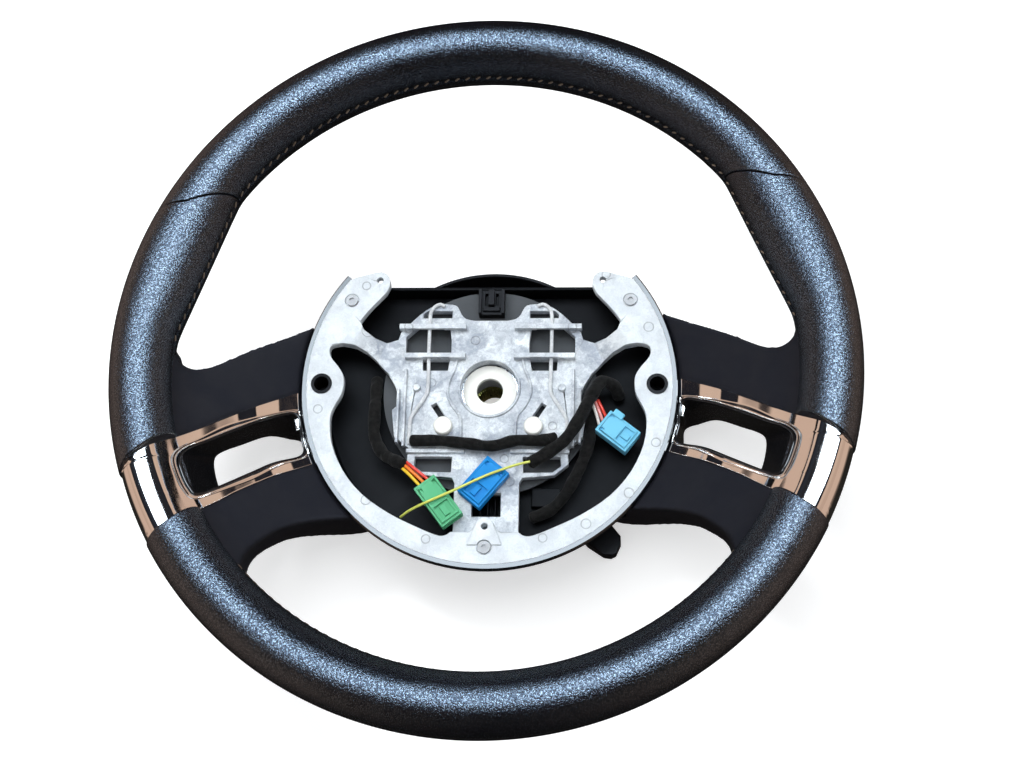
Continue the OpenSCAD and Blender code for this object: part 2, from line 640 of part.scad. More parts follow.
module hub_frame() {
    color("#c8ccd2") difference() {
        union() {
            translate([0, 0, ring_z - ring_t]) linear_extrude(ring_t) ring_outline();
            translate([0, 0, plate_z - plate_t]) linear_extrude(plate_t) plate_outline();
            for (s = [1, -1]) right_or_left(s) frame_side();
            // Step from the plate's foot up to the ring
            translate([-17, -87, plate_z - plate_t]) cube([34, 7, ring_z - plate_z + plate_t - 1]);
            // Bearing housing under the plate
            translate([0, 0, housing_z]) cylinder(r = housing_r, h = plate_z - plate_t - housing_z + 1);
            // Raised face of the bottom ear
            translate([0, 0, ring_z - 1]) linear_extrude(1.8)
                polygon(concat([[9, -87], [6.4, -80.5]], arc(4.7, 5, 175, 10, [0, ear_low]), [[-6.4, -80.5], [-9, -87]]));
            // Raised rim round the central bore
            translate([0, 0, plate_z - 1]) cylinder(r = hub_bore + 1.4, h = 2);
        }
        for (s = [1, -1]) right_or_left(s) translate([0, 0, 30]) linear_extrude(30) {
            polygon(top_window);
            polygon(low_window);
            polygon(foot_window);
            polygon(slot_window);
        }
        for (s = [1, -1]) right_or_left(s) translate([0, 0, 30]) linear_extrude(plate_z - 30 + 1) polygon(mid_window);
        translate([-7.6, -70.4, 30]) cube([15.2, 12.8, 30]);
        translate([0, 0, 20]) cylinder(r = hub_bore, h = 60);
        translate([0, 0, 20]) cylinder(r = bearing_out, h = bearing_top - 20);
        translate([0, 0, bearing_z - snap_t - 2 * fit_gap]) cylinder(r = snap_r, h = snap_t + 2 * fit_gap);
        translate([0, 0, 20]) cylinder(r = bearing_out - 3.5, h = bearing_top + 1 - 20);
        for (s = [1, -1]) {
            translate([s * sleeve_x, 0, 30]) cylinder(r = sleeve_r + 1.2, h = 40);
            translate([s * ear_pos[0], ear_pos[1], 30]) cylinder(r = ear_hole, h = 40);
        }
        translate([0, ear_low, 30]) cylinder(r = ear_hole, h = 40);
        for (p = screw_at) translate([p[0], p[1], 30]) cylinder(r = 1.7, h = 40);
        for (p = screw_at) translate([p[0], p[1], ring_z - 0.8]) cylinder(r = screw_r + 0.6, h = 5);
        // Room for the tray's screw posts
        for (p = screw_at) translate([p[0], p[1], 30]) cylinder(r = 5 + fit_gap, h = ring_z - ring_t - 30);
    }
}
// What the casting has on each side: arm, bars over the windows, ribs and pins
module frame_side() {
    intersection() {
        translate([0, 0, 30]) linear_extrude(30) polygon(other_side(arm_edge));
        rotate([0, 0, 27]) rotate([90, 0, 0]) linear_extrude(80, center = true)
            polygon([[42, plate_z - plate_t], [62, plate_z - plate_t], [77, ring_z - ring_t - 2],
                [84, ring_z - ring_t], [96, ring_z - ring_t], [96, ring_z], [77, ring_z], [60, plate_z], [42, plate_z]]);
    }
    for (y = [33.8, 17.2]) difference() {
        translate([13, y - 1.4, plate_z - 1]) cube([y > 20 ? 36 : 32.5, 2.8, 5]);
        translate([25, y - 5, plate_z - 2]) cube([15, 10, 4.1]);
    }
    translate([44, -33, plate_z - 1]) cube([1.4, 43, 4]);
    translate([47.6, -31, plate_z - 1]) cube([1.4, 30, 4]);
    translate([12, -36.4, plate_z - 1]) cube([31, 2.2, 3]);
    translate([0, 0, plate_z - 1]) linear_extrude(2.4) polygon(strip(curve(rib_path, 2), 1.3));
    translate([38.7, -0.2, plate_z - 1]) cylinder(r = 2, h = 3.4);
}

module hub_tray() {
    inner = gear_skirt_r + 1.9;
    color("#101113") difference() {
        union() {
            intersection() {
                rotate_extrude() polygon([[inner, tray_floor], [89, tray_floor], [92.6, tray_floor + 3],
                    [tray_r, ring_z - ring_t], [tray_r - 2.6, ring_z - ring_t], [90.4, tray_floor + 5],
                    [87.6, tray_floor + tray_t], [inner, tray_floor + tray_t]]);
                translate([-120, -120, 0]) cube([240, 120 + chord_y, 60]);
            }
            // Straight wall along the top, lower between the ears
            intersection() {
                translate([0, 0, tray_floor]) cylinder(r = 92.6, h = 40);
                union() {
                    translate([-100, chord_y - 2, tray_floor]) cube([200, 2, plate_z - 4 - tray_floor]);
                    for (s = [1, -1]) right_or_left(s)
                        translate([56, chord_y - 2, tray_floor]) cube([40, 2, ring_z - ring_t - tray_floor]);
                }
            }
            intersection() {
                union() {
                    for (p = screw_at) translate([p[0], p[1], tray_floor]) cylinder(r = 5, h = ring_z - ring_t - tray_floor);
                    for (s = [1, -1]) translate([s * sleeve_x, 0, tray_floor])
                        cylinder(r = sleeve_r + 3.4, h = ring_z - ring_t - tray_floor);
                }
                cylinder(r1 = 89.4, r2 = tray_r, h = ring_z - ring_t);
            }
            // Dark box behind the lower right of the plate, and the ribs below the plate's foot
            translate([23, -62, tray_floor]) cube([15, 10, 7]);
            for (x = [-4, 0, 4]) translate([x - 0.6, -74, tray_floor]) cube([1.2, 18, 9]);
        }
        for (s = [1, -1]) translate([s * sleeve_x, 0, 36]) cylinder(r = sleeve_r + 1.2, h = 20);
        for (p = screw_at) translate([p[0], p[1], tray_floor + 4]) cylinder(r = 1.3, h = 30);
    }
}
module gear_cover() {
    color("#2c2e31") difference() {
        rotate_extrude() polygon([[housing_r + 0.3, gear_lid_z], [gear_skirt_r, gear_lid_z], [gear_skirt_r, tray_floor],
            [gear_skirt_r + 1.85, tray_floor], [gear_skirt_r + 1.85, gear_lid_z], [gear_lid_r, gear_lid_z],
            [gear_lid_r, gear_lid_z + 1.5], [housing_r + 0.3, gear_lid_z + 1.5]]);
    }
    color("#2c2e31") for (a = [40, 140, 220, 320]) rotate([0, 0, a])
        translate([gear_skirt_r + 1.8, -4, tray_floor + tray_t]) cube([3, 8, gear_lid_z - tray_floor - tray_t + 0.5]);
}
module hub_trim() {
    a0 = 141.5;
    color("#08090a") rotate([0, 0, a0]) rotate_extrude(angle = 540 - 2 * a0) polygon([[ring_r, ring_z - ring_t + 0.3],
        [ring_r + trim_w - 0.6, ring_z - ring_t + 0.3], [ring_r + trim_w, ring_z - ring_t + 1.2],
        [ring_r + trim_w, ring_z - 1.2], [ring_r + trim_w - 0.8, ring_z - 0.2], [ring_r, ring_z - 0.2]]);
}
module ring_screws() {
    color("#b9bcc1") for (p = screw_at) translate([p[0], p[1], 0]) difference() {
        union() {
            translate([0, 0, ring_z - 0.8]) cylinder(r = screw_r, h = 1.6);
            translate([0, 0, tray_floor + 6]) cylinder(r = 1.3, h = ring_z - tray_floor - 6.5);
        }
        translate([0, 0, ring_z - 0.2]) cylinder(r = 1.5, h = 3, $fn = 6);
    }
}
module clip_holder() {
    z0 = gear_lid_z + 1.5;
    color("#0c0d0e") translate([0, 0, z0]) difference() {
        union() {
            translate([-7, 42.6, 0]) cube([14, 14.4, 5]);
            translate([-7, 42.6, 0]) cube([1.6, 14.4, 8]);
            translate([5.4, 42.6, 0]) cube([1.6, 14.4, 8]);
            translate([-1.6, 47, 4]) cube([3.2, 9, 5]);
            translate([-4.6, 44.4, 4]) cube([9.2, 2, 3]);
        }
        translate([-3.6, 48, 2]) cube([1.4, 7, 10]);
        translate([2.2, 48, 2]) cube([1.4, 7, 10]);
    }
}
wire_r = 1;
wire_left = [[-25.2, 46.2, 45], [-27.6, 47.4, 45], [-30.6, 46, 45], [-32.6, 42.6, 45], [-32.9, 37, 45],
    [-32.9, 20, 45], [-32.6, 1, 45], [-33.6, -4.4, 45], [-37.4, -10.6, 45], [-40.4, -15.6, 45],
    [-41.6, -19.6, 45], [-41.6, -31.6, 45]];
module spring_wire_left() {
    color("#cfd2d6") tube(curve([for (p = wire_left) [p[0], p[1], plate_z + wire_r]], 2), wire_r);
}
module spring_wire_right() {
    color("#cfd2d6") mirror([1, 0, 0]) tube(curve([for (p = wire_left) [p[0], p[1], plate_z + wire_r]], 2), wire_r);
}
module pad() {
    color("#f4f4f0") translate([23.9, -21.5, plate_z]) rotate_extrude()
        polygon([[0, 0], [5, 0], [5, 2.2], [4.4, 3], [0, 3.2]]);
}
module pad_left() {
    mirror([1, 0, 0]) pad();
}
module pad_right() {
    pad();
}
module sleeve(s) {
    color("#0a0a0b") translate([s * sleeve_x, 0, 0]) difference() {
        union() {
            translate([0, 0, 36]) cylinder(r = sleeve_r + 1.2, h = ring_z - 36);
            translate([0, 0, ring_z]) cylinder(r = sleeve_r + 1.6, h = 0.6);
        }
        translate([0, 0, 30]) cylinder(r = sleeve_r, h = 40);
    }
}
module sleeve_left() {
    sleeve(-1);
}
module sleeve_right() {
    sleeve(1);
}

// A plug housing: length along local x, its lead end at x = 0
module plug(len, wide, high) {
    difference() {
        union() {
            translate([0, -wide / 2, 0]) cube([len, wide, high - 1]);
            translate([1.5, -wide / 2 + 1.2, 0]) cube([len - 3, wide - 2.4, high]);
        }
        translate([len * 0.58, -wide / 2 + 2.4, high - 1.4]) cube([len * 0.3, wide - 4.8, 3]);
        for (y = [-0.32, 0.32]) translate([len * 0.1, y * wide - 0.8, high - 1.2]) cube([2, 1.6, 3]);
        translate([len - 2.5, -wide / 2 + 1.6, 1.4]) cube([4, wide - 3.2, high - 3.6]);
    }
    translate([len * 0.62, -1.6, high - 1.6]) cube([len * 0.24, 3.2, 1.6]);
}
plug_z = plate_z + 0.3;
module connector_green() {
    color("#5fb98a") translate([-32.3, -53.4, plug_z]) rotate([0, 0, -52.7]) plug(25.8, 13, 7.5);
}
module connector_blue() {
    color("#1f8fd6") translate([6.4, -43.9, plug_z]) rotate([0, 0, -129.5]) plug(24.4, 15, 7);
}
module connector_cyan() {
    color("#63c3ea") translate([60.4, -18.6, 40.4]) rotate([0, 0, -38]) {
        plug(20, 13.5, 8);
        translate([2, 5.4, 7]) cube([6, 3.4, 1.8]);
    }
}
trunk = [[69, -1.2, 33], [66.2, 3, 38.5], [59.5, 3.2, 45], [55, -5, 49.4], [51.4, -13, 51.6], [46.6, -22.4, 51.8],
    [40.6, -31, 51.2], [32.5, -37, 49.6], [23, -42.4, 48.2]];
cross_run = [[-39.6, -30.4, 47.5], [-26, -30.6, 48.4], [-11, -32.2, 49], [2.6, -33.6, 49], [15, -30.6, 49],
    [27, -30.4, 48.3], [35.4, -28.6, 47.4]];
lower_run = [[57.4, -11.2, 41.6], [54.2, -20, 41.8], [53.4, -28, 41.6], [50.8, -37, 41], [46.4, -47, 40],
    [41, -56.6, 38.5], [33.5, -64.4, 36.4], [23.6, -68.6, 34.6]];
left_run = [[-62, 8, 32.4], [-61.6, -2, 36.6], [-61.4, -14, 39.6], [-60.6, -26, 41.4], [-55.6, -36, 43.4],
    [-49.6, -40.4, 46], [-43.8, -43.4, 48]];
module loom_trunk() {
    color("#131313") tube(curve(trunk, 2), 3.4, 10);
}
module loom_cross() {
    color("#131313") tube(curve(cross_run, 2), 3.2, 10);
}
module loom_lower() {
    color("#131313") tube(curve(lower_run, 2), 3.2, 10);
}
module loom_left() {
    color("#131313") tube(curve(left_run, 2), 3.3, 10);
}
module leads_green() {
    for (i = [-1, 0, 1]) color(["#e8c93a", "#e8792c", "#d8452c"][i + 1])
        tube(curve([[-43.2 + i * 1.3, -43.8 + i * 1.5, 48], [-38.6 + i * 1.5, -48 + i * 1.5, 49.6],
            [-32.6 + i * 2.2, -53.2 + i * 1.6, 48.4]], 3), 0.8);
}
module leads_cyan() {
    for (i = [-1, 0, 1]) color(["#f3ece4", "#e59a98", "#c8403a"][i + 1])
        tube(curve([[56.4 + i * 1.4, -8.4 + i * 1, 46], [58.4 + i * 1.5, -13.4 + i * 1.5, 46.2],
            [60.2 + i * 1.7, -18.2 + i * 2.2, 45]], 3), 0.8);
}
wire_run = [[22.6, -42.8, 51.6], [14, -45.4, 52.6], [0, -50.8, 52.8], [-16, -58.6, 53.2], [-30, -65, 53],
    [-39, -68.6, 49.6], [-44.4, -70.8, 44]];
module signal_wire() {
    color("#c9d35a") tube(curve(wire_run, 2), 0.7);
}

armature();
column_bush();
rim_foam();
leather_top();
leather_left();
leather_right();
leather_bottom();
insert_left();
insert_right();
slot_lining_left();
slot_lining_right();
rear_cover();
cover_screws();
bearing_inner_race();
bearing_outer_race();
bearing_balls();
bearing_circlip();
boss_washer();
planet_bush();
planet_shaft();
front_pinion();
rear_pinion();
stator_ring();
retaining_clip();
hub_frame();
hub_gear();
hub_tray();
gear_cover();
hub_trim();
ring_screws();
clip_holder();
spring_wire_left();
spring_wire_right();
pad_left();
pad_right();
sleeve_left();
sleeve_right();
connector_green();
connector_blue();
connector_cyan();
loom_trunk();
loom_cross();
loom_lower();
loom_left();
leads_green();
leads_cyan();
signal_wire();
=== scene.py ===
"""Looks of a car steering wheel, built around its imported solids.

The scene is in metres. The origin is on the steering axis in the plane of the rear ring's flat rear face,
+Z points to the driver and +Y to the top of the hub. Points and lengths below are in millimetres and are
multiplied by MM when they go into a mesh. Distances inside a material are in metres. Angles are in degrees.
"""

import math

import bmesh
import bpy
import numpy as np
from mathutils import Matrix, Vector


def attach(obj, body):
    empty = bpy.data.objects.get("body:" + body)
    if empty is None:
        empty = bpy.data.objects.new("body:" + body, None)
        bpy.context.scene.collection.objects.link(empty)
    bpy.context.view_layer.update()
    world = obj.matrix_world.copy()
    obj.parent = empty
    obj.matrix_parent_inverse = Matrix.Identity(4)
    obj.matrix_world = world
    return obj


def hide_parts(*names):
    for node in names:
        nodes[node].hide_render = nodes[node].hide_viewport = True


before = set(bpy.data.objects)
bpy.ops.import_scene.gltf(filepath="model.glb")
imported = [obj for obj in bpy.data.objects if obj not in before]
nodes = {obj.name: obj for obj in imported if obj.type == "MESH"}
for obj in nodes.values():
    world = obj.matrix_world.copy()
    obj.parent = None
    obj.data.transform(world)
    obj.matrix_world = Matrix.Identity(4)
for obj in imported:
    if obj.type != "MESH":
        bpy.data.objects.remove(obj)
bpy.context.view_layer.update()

MM = 0.001
# The rim stands turned from the hub by this angle
WHEEL_TURN = 2.3
# The rim's centre line, and the half axes of the grip's oval section
RIM_R, RIM_Z = 174.0, 92.0
GRIP_W, GRIP_D = 16.0, 20.0
# Angles round the wheel, up from the right: the upper seam, and a thumb rest with its half width
SEAM_MID = 29.5
THUMB_MID, THUMB_HALF = 21.5, 15.0
# Where the sewn line runs round the grip's section, which starts at its outer side
STITCH_AT = 176.0
SLOT_WALL = 1.5
# Height of the hub frame's ring
RING_TOP = 51.0


# Shapes

def spans(a, b, c, d, per):
    """Points from each b towards c, per points to a span, on the cubic whose slope at b is half the step from
    a to c, and at c half the step from b to d."""
    t = (np.arange(per) / per)[None, :, None]
    a, b, c, d = (q[:, None, :] for q in (a, b, c, d))
    square, cube = 2 * a - 5 * b + 4 * c - d, 3 * b - a - 3 * c + d
    out = 0.5 * (2 * b + t * (c - a) + t ** 2 * square + t ** 3 * cube)
    return out.reshape(-1, out.shape[-1])


def bend(points, per=10):
    """Points along the smooth curve through the given points."""
    p = np.asarray(points, float)
    out = spans(np.vstack([p[:1], p[:-2]]), p[:-1], p[1:], np.vstack([p[2:], p[-1:]]), per)
    return np.vstack([out, p[-1:]])


def bend_loop(points, per=10):
    """The same curve run round a closed outline."""
    p = np.asarray(points, float)
    return spans(np.roll(p, 1, 0), p, np.roll(p, -1, 0), np.roll(p, -2, 0), per)


def closed(loop):
    """A loop's points with the first one again at the end."""
    return np.vstack([loop, loop[:1]])


def lengths(points):
    """The length along a chain of points, up to each of them."""
    return np.concatenate([[0], np.cumsum(np.linalg.norm(np.diff(points, axis=0), axis=1))])


def evenly(loop, n, other=None):
    """n points spaced evenly by length round a closed outline, or the points at the same places of another
    outline that has as many points."""
    s = lengths(closed(loop))
    t = np.linspace(0, s[-1], n, endpoint=False)
    q = closed(loop if other is None else other)
    return np.stack([np.interp(t, s, q[:, k]) for k in (0, 1)], 1)


def unit(vectors):
    return vectors / np.linalg.norm(vectors, axis=-1, keepdims=True)


def on_rim(points, side="right"):
    """Points of the wheel's right half, or their mirror image on the left, as the rim stands turned."""
    a = math.radians(WHEEL_TURN)
    x, y, z = np.moveaxis(np.asarray(points, float), -1, 0)
    if side == "left":
        x = -x
    return np.stack([x * math.cos(a) - y * math.sin(a), x * math.sin(a) + y * math.cos(a), z], -1)


def place(name, data):
    """A new object in the scene."""
    obj = bpy.data.objects.new(name, data)
    bpy.context.scene.collection.objects.link(obj)
    return obj


def enter(obj, body, node=None):
    """Hangs a piece on what it rides on, and hides the solid that it stands for, if there is one."""
    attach(obj, body)
    if node:
        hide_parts(node)
    return obj


def add_mesh(name, points, quads, uv, body, finish, node=None):
    """A piece from points and quads with their UV, turned to face outwards by the sign of its volume: the sum
    over its triangles of a dot b cross c."""
    p = np.asarray(points, float).reshape(-1, 3) * MM
    a, b, c, d = (p[quads[:, k]] for k in range(4))
    if np.einsum("ij,ij->", a, np.cross(b, c) + np.cross(c, d)) < 0:
        quads, uv = quads[:, ::-1], uv[:, ::-1]
    mesh = bpy.data.meshes.new(name)
    mesh.from_pydata(p.tolist(), [], quads.tolist())
    layer = mesh.uv_layers.new(name="UVMap")
    layer.data.foreach_set("uv", np.asarray(uv, np.float32).reshape(-1))
    mesh.validate()
    mesh.shade_smooth()
    mesh.materials.append(finish)
    return enter(place(name, mesh), body, node)


def ring_quads(n, m, joined=False):
    """Quads over n rings of m points, with the last ring joined to the first if asked."""
    i = np.arange(n if joined else n - 1)[:, None]
    j = np.arange(m)[None, :]
    i2, j2 = (i + 1) % n, (j + 1) % m
    return np.stack([i * m + j, i2 * m + j, i2 * m + j2, i * m + j2], -1).reshape(-1, 4)


def ring_uv(n, m, joined=False, long=1.0):
    """The UV of those quads' corners: u runs to long across the rings, and v to 1 round each."""
    count = n if joined else n - 1
    i, j = np.meshgrid(np.arange(count), np.arange(m), indexing="ij")
    u0, u1, v0, v1 = i * long / count, (i + 1) * long / count, j / m, (j + 1) / m
    corners = [np.stack(corner, -1) for corner in ((u0, v0), (u1, v0), (u1, v1), (u0, v1))]
    return np.stack(corners, -2).reshape(-1, 4, 2)


def add_rings(name, points, body, finish, node=None, joined=True, long=1.0):
    """A piece from an array of rings of points."""
    n, m = points.shape[:2]
    quads, uv = ring_quads(n, m, joined), ring_uv(n, m, joined, long)
    return add_mesh(name, points, quads, uv, body, finish, node)


# The round end of a tube: the turns of its rings, and how far it stands out as a share of the radius
END_TURNS = np.array([0.0, 0.3, 0.6, 0.85, 1.0]) * math.pi / 2
END_REACH = 0.5


def tube_points(path, radius, sides):
    """Rings of points round a path: centre plus radius times (cos t side + sin t up), the side direction
    carried from ring to ring without twist. The ends are closed by rings that shrink as a quarter circle."""
    p = np.asarray(path, float)
    d = unit(np.gradient(p, axis=0))
    r = np.broadcast_to(np.asarray(radius, float), len(p))
    side = np.cross(d[0], [0, 0, 1.0])
    carried = []
    for step in d:
        side = unit(side - step * np.dot(side, step))
        carried.append(side)
    s = np.array(carried)
    up = np.cross(s, d)
    head, tail = END_TURNS, END_TURNS[::-1]
    p = np.vstack([p[0] - d[0] * (r[0] * END_REACH * np.cos(head))[:, None], p[1:-1],
                   p[-1] + d[-1] * (r[-1] * END_REACH * np.cos(tail))[:, None]])
    r = np.concatenate([r[0] * np.maximum(np.sin(head), 0.001), r[1:-1],
                        r[-1] * np.maximum(np.sin(tail), 0.001)])
    repeats = [len(head)] + [1] * (len(s) - 2) + [len(tail)]
    s, up = np.repeat(s, repeats, 0), np.repeat(up, repeats, 0)
    t = np.arange(sides) * 2 * math.pi / sides
    ring = np.cos(t)[None, :, None] * s[:, None, :] + np.sin(t)[None, :, None] * up[:, None, :]
    return p[:, None, :] + r[:, None, None] * ring


def tube(name, path, radius, finish, sides, node=None):
    """A closed tube on the hub along a path, its UV in mm along and turns round."""
    return add_rings(name, tube_points(path, radius, sides), "hub", finish, node, False,
                     float(lengths(path)[-1]))


def copy_of(node, name, finish):
    """A copy of a solid with its doubles merged, in one finish."""
    mesh = nodes[node].data.copy()
    mesh.name = name
    bm = bmesh.new()
    bm.from_mesh(mesh)
    bmesh.ops.remove_doubles(bm, verts=bm.verts, dist=4e-6)
    bm.to_mesh(mesh)
    bm.free()
    mesh.materials.clear()
    mesh.materials.append(finish)
    return place(name, mesh)


def eased(name, node, finish, width, body):
    """A solid with its sharp edges rounded by width, shaded by the area of its faces so that flat ones stay
    flat."""
    obj = copy_of(node, name, finish)
    obj.data.shade_smooth()
    cut = obj.modifiers.new("rounded edges", "BEVEL")
    cut.width = width * MM
    cut.segments = 2
    cut.limit_method = "ANGLE"
    cut.angle_limit = math.radians(38)
    cut.use_clamp_overlap = False
    even = obj.modifiers.new("even shading", "WEIGHTED_NORMAL")
    even.weight = 70
    return enter(obj, body, node)


# Finishes

class Finish:
    """A material being wired round one shader. An input takes another node's output, a number, or a colour as
    a tuple of three numbers."""

    def __init__(self, name, **values):
        self.material = bpy.data.materials.new(name)
        self.material.use_nodes = True
        self.tree = self.material.node_tree
        self.tree.nodes.clear()
        self.out = self.node("ShaderNodeOutputMaterial")
        self.shader = self.node("ShaderNodeBsdfPrincipled")
        self.plug(self.shader.outputs[0], self.out.inputs[0])
        for key, value in values.items():
            self.feed(key.replace("_", " ").title().replace("Ior", "IOR"), value)

    def plug(self, value, socket):
        if hasattr(value, "is_output"):
            self.tree.links.new(value, socket)
        else:
            socket.default_value = (*value, 1) if isinstance(value, tuple) else value

    def node(self, kind, **inputs):
        """A new node. Its inputs are given by name, or by number as i0, i1 and i2."""
        n = self.tree.nodes.new(kind)
        for key, value in inputs.items():
            self.plug(value, n.inputs[key] if key in n.inputs else n.inputs[int(key[1:])])
        return n

    def feed(self, name, value):
        self.plug(value, self.shader.inputs[name])

    def coordinates(self, kind="Object"):
        return self.node("ShaderNodeTexCoord").outputs[kind]

    def split(self, vector):
        return self.node("ShaderNodeSeparateXYZ", Vector=vector).outputs

    def noise(self, coordinates, scale, detail=3.0, roughness=0.55, distortion=0.0):
        return self.node("ShaderNodeTexNoise", Vector=coordinates, Scale=scale, Detail=detail,
                         Roughness=roughness, Distortion=distortion).outputs["Fac"]

    def spread(self, value, low, high, to_low=0.0, to_high=1.0):
        """The range from low to high laid over the one from to_low to to_high."""
        n = self.node("ShaderNodeMapRange", Value=value)
        for key, bound in (("From Min", low), ("From Max", high), ("To Min", to_low), ("To Max", to_high)):
            self.plug(bound, n.inputs[key])
        return n.outputs["Result"]

    def math(self, operation, a, b=0.0):
        n = self.node("ShaderNodeMath", i0=a, i1=b)
        n.operation = operation
        return n.outputs[0]

    def plus(self, a, b):
        return self.math("ADD", a, b)

    def minus(self, a, b):
        return self.math("SUBTRACT", a, b)

    def times(self, a, b):
        return self.math("MULTIPLY", a, b)

    def distance(self, a, b):
        """The length of a vector with the two parts a and b."""
        return self.math("SQRT", self.plus(self.times(a, a), self.times(b, b)))

    def blend(self, amount, a, b):
        """Colour a where amount is 0, and b where it is 1."""
        n = self.node("ShaderNodeMix")
        n.data_type = "RGBA"
        for index, value in ((0, amount), (6, a), (7, b)):
            self.plug(value, n.inputs[index])
        return n.outputs[2]

    def choose(self, amount, a, b):
        """Shader a where amount is 0, and b where it is 1."""
        return self.node("ShaderNodeMixShader", i0=amount, i1=a, i2=b).outputs[0]

    def bump(self, height, distance, strength=1.0, normal=None):
        n = self.node("ShaderNodeBump", Height=height, Distance=distance, Strength=strength)
        if normal is not None:
            self.plug(normal, n.inputs["Normal"])
        return n.outputs["Normal"]

    def use(self, group, **inputs):
        """The outputs of a shared effect."""
        n = self.tree.nodes.new("ShaderNodeGroup")
        n.node_tree = group
        for key, value in inputs.items():
            self.plug(value, n.inputs[key])
        return n.outputs


class Effect(Finish):
    """A shared effect: a node group with named inputs and outputs, each a single value."""

    def __init__(self, name, inputs, outputs):
        self.tree = bpy.data.node_groups.new(name, "ShaderNodeTree")
        for label, value in inputs.items():
            socket = self.tree.interface.new_socket(name=label, in_out="INPUT", socket_type="NodeSocketFloat")
            socket.default_value = value
        for label in outputs:
            self.tree.interface.new_socket(name=label, in_out="OUTPUT", socket_type="NodeSocketFloat")
        self.inside = self.tree.nodes.new("NodeGroupInput").outputs
        self.result = self.tree.nodes.new("NodeGroupOutput").inputs

    def give(self, label, value):
        self.plug(value, self.result[label])


def grain_effect():
    """Pebbled grain: the distance to the nearest of scattered points, softened by a fine noise."""
    e = Effect("grain", {"Scale": 900.0, "Fineness": 0.4}, ["Height", "Patches"])
    c = e.coordinates()
    cells = e.node("ShaderNodeTexVoronoi", Vector=c, Scale=e.inside["Scale"])
    cells.feature = "SMOOTH_F1"
    fine = e.noise(c, e.times(e.inside["Scale"], 2.6), 2.0)
    e.give("Height", e.plus(cells.outputs["Distance"], e.times(fine, e.inside["Fineness"])))
    e.give("Patches", e.noise(c, 38.0, 4.0, 0.6))
    return e.tree


def mottle_effect():
    """Stains: two noises of different size, the larger one bent by the smaller, as a mask from 0 to 1."""
    e = Effect("mottle", {"Scale": 60.0, "Low": 0.4, "High": 0.65}, ["Mask"])
    c = e.coordinates()
    small = e.node("ShaderNodeTexNoise", Vector=c, Scale=e.times(e.inside["Scale"], 3.1), Detail=3.0)
    moved = e.node("ShaderNodeMix")
    moved.data_type = "VECTOR"
    for index, value in ((0, 0.012), (4, c), (5, small.outputs["Color"])):
        e.plug(value, moved.inputs[index])
    big = e.noise(moved.outputs[1], e.inside["Scale"], 5.0, 0.65, 0.6)
    e.give("Mask", e.spread(big, e.inside["Low"], e.inside["High"]))
    return e.tree


# Ejector marks on the hub frame: x, y and radius
EJECTORS = [(-66, 30.5, 3), (84.6, 32, 2.6), (-90, -14, 2.3), (62, 62, 2.2), (-67.5, 56, 2.2),
            (88, -32, 2.3), (74, -59, 2.5), (52, -75.5, 2.5), (-62, -63.5, 2.5), (-30, -84, 2.2),
            (30, -83, 2.2), (34, -21, 2.2), (-31, 3, 2.4), (9, -39, 2.2), (12, -51.5, 2.4),
            (-8, 27, 2.4), (44, 33.5, 2.2), (-44, 33.5, 2.2)]


def marks_effect():
    """Ejector marks: a ring where the distance from one of the places, in the plane of the face, is near its
    radius. The height falls off to each side as one less the distance over the ring's width."""
    e = Effect("ejector marks", {"Width": 0.00035}, ["Ring"])
    across, upward, _ = e.split(e.coordinates())
    rings = 0.0
    for x, y, r in EJECTORS:
        from_middle = e.distance(e.minus(across, x * MM), e.minus(upward, y * MM))
        off = e.math("ABSOLUTE", e.minus(from_middle, r * MM))
        one = e.minus(1.0, e.math("DIVIDE", off, e.inside["Width"]))
        rings = e.math("MAXIMUM", rings, one)
    e.give("Ring", rings)
    return e.tree


GRAIN = grain_effect()
MOTTLE = mottle_effect()
MARKS = marks_effect()


def dim(colour, share):
    return tuple(v * share for v in colour)


def cast_metal(name, base, dark, marked=False):
    """Bare die-cast metal: pale and satin, with cloudy stains, small flecks, an uneven skin and, if marked,
    ejector marks. Below the height of the hub's ring the stains and flecks are stronger: painted shade."""
    f = Finish(name, metallic=0.03, roughness=0.5, specular_ior_level=0.10)
    c = f.coordinates()
    # Stains and flecks are stronger below the ring's height: painted shade on the lower parts, over real
    # stains
    painted_low_shade = f.spread(f.split(c)[2], (RING_TOP - 4) * MM, (RING_TOP - 1.5) * MM, 1.0, 0.0)
    big = f.use(MOTTLE, Scale=75.0, Low=0.38, High=0.62)["Mask"]
    small = f.use(MOTTLE, Scale=260.0, Low=0.48, High=0.64)["Mask"]
    stain = f.times(f.minus(1.0, big), f.spread(painted_low_shade, 0.0, 1.0, 0.35, 1.0))
    flecks = f.times(small, f.spread(painted_low_shade, 0.0, 1.0, 0.16, 0.42))
    colour = f.blend(flecks, f.blend(stain, base, dark), (dark[0] * 0.62, dark[1] * 0.63, dark[2] * 0.66))
    fine = f.bump(f.noise(c, 1100.0), 0.00008, 0.6)
    normal = f.bump(f.noise(c, 170.0, 3.0, 0.6), 0.00045, 0.45, fine)
    if marked:
        rings = f.use(MARKS)["Ring"]
        colour = f.blend(f.times(rings, 0.45), colour, dim(dark, 0.55))
        normal = f.bump(rings, 0.00030, 0.8, normal)
    f.feed("Base Color", colour)
    f.feed("Roughness", f.spread(f.noise(c, 120.0, 4.0), 0.3, 0.7, 0.36, 0.56))
    f.feed("Normal", normal)
    return f.material


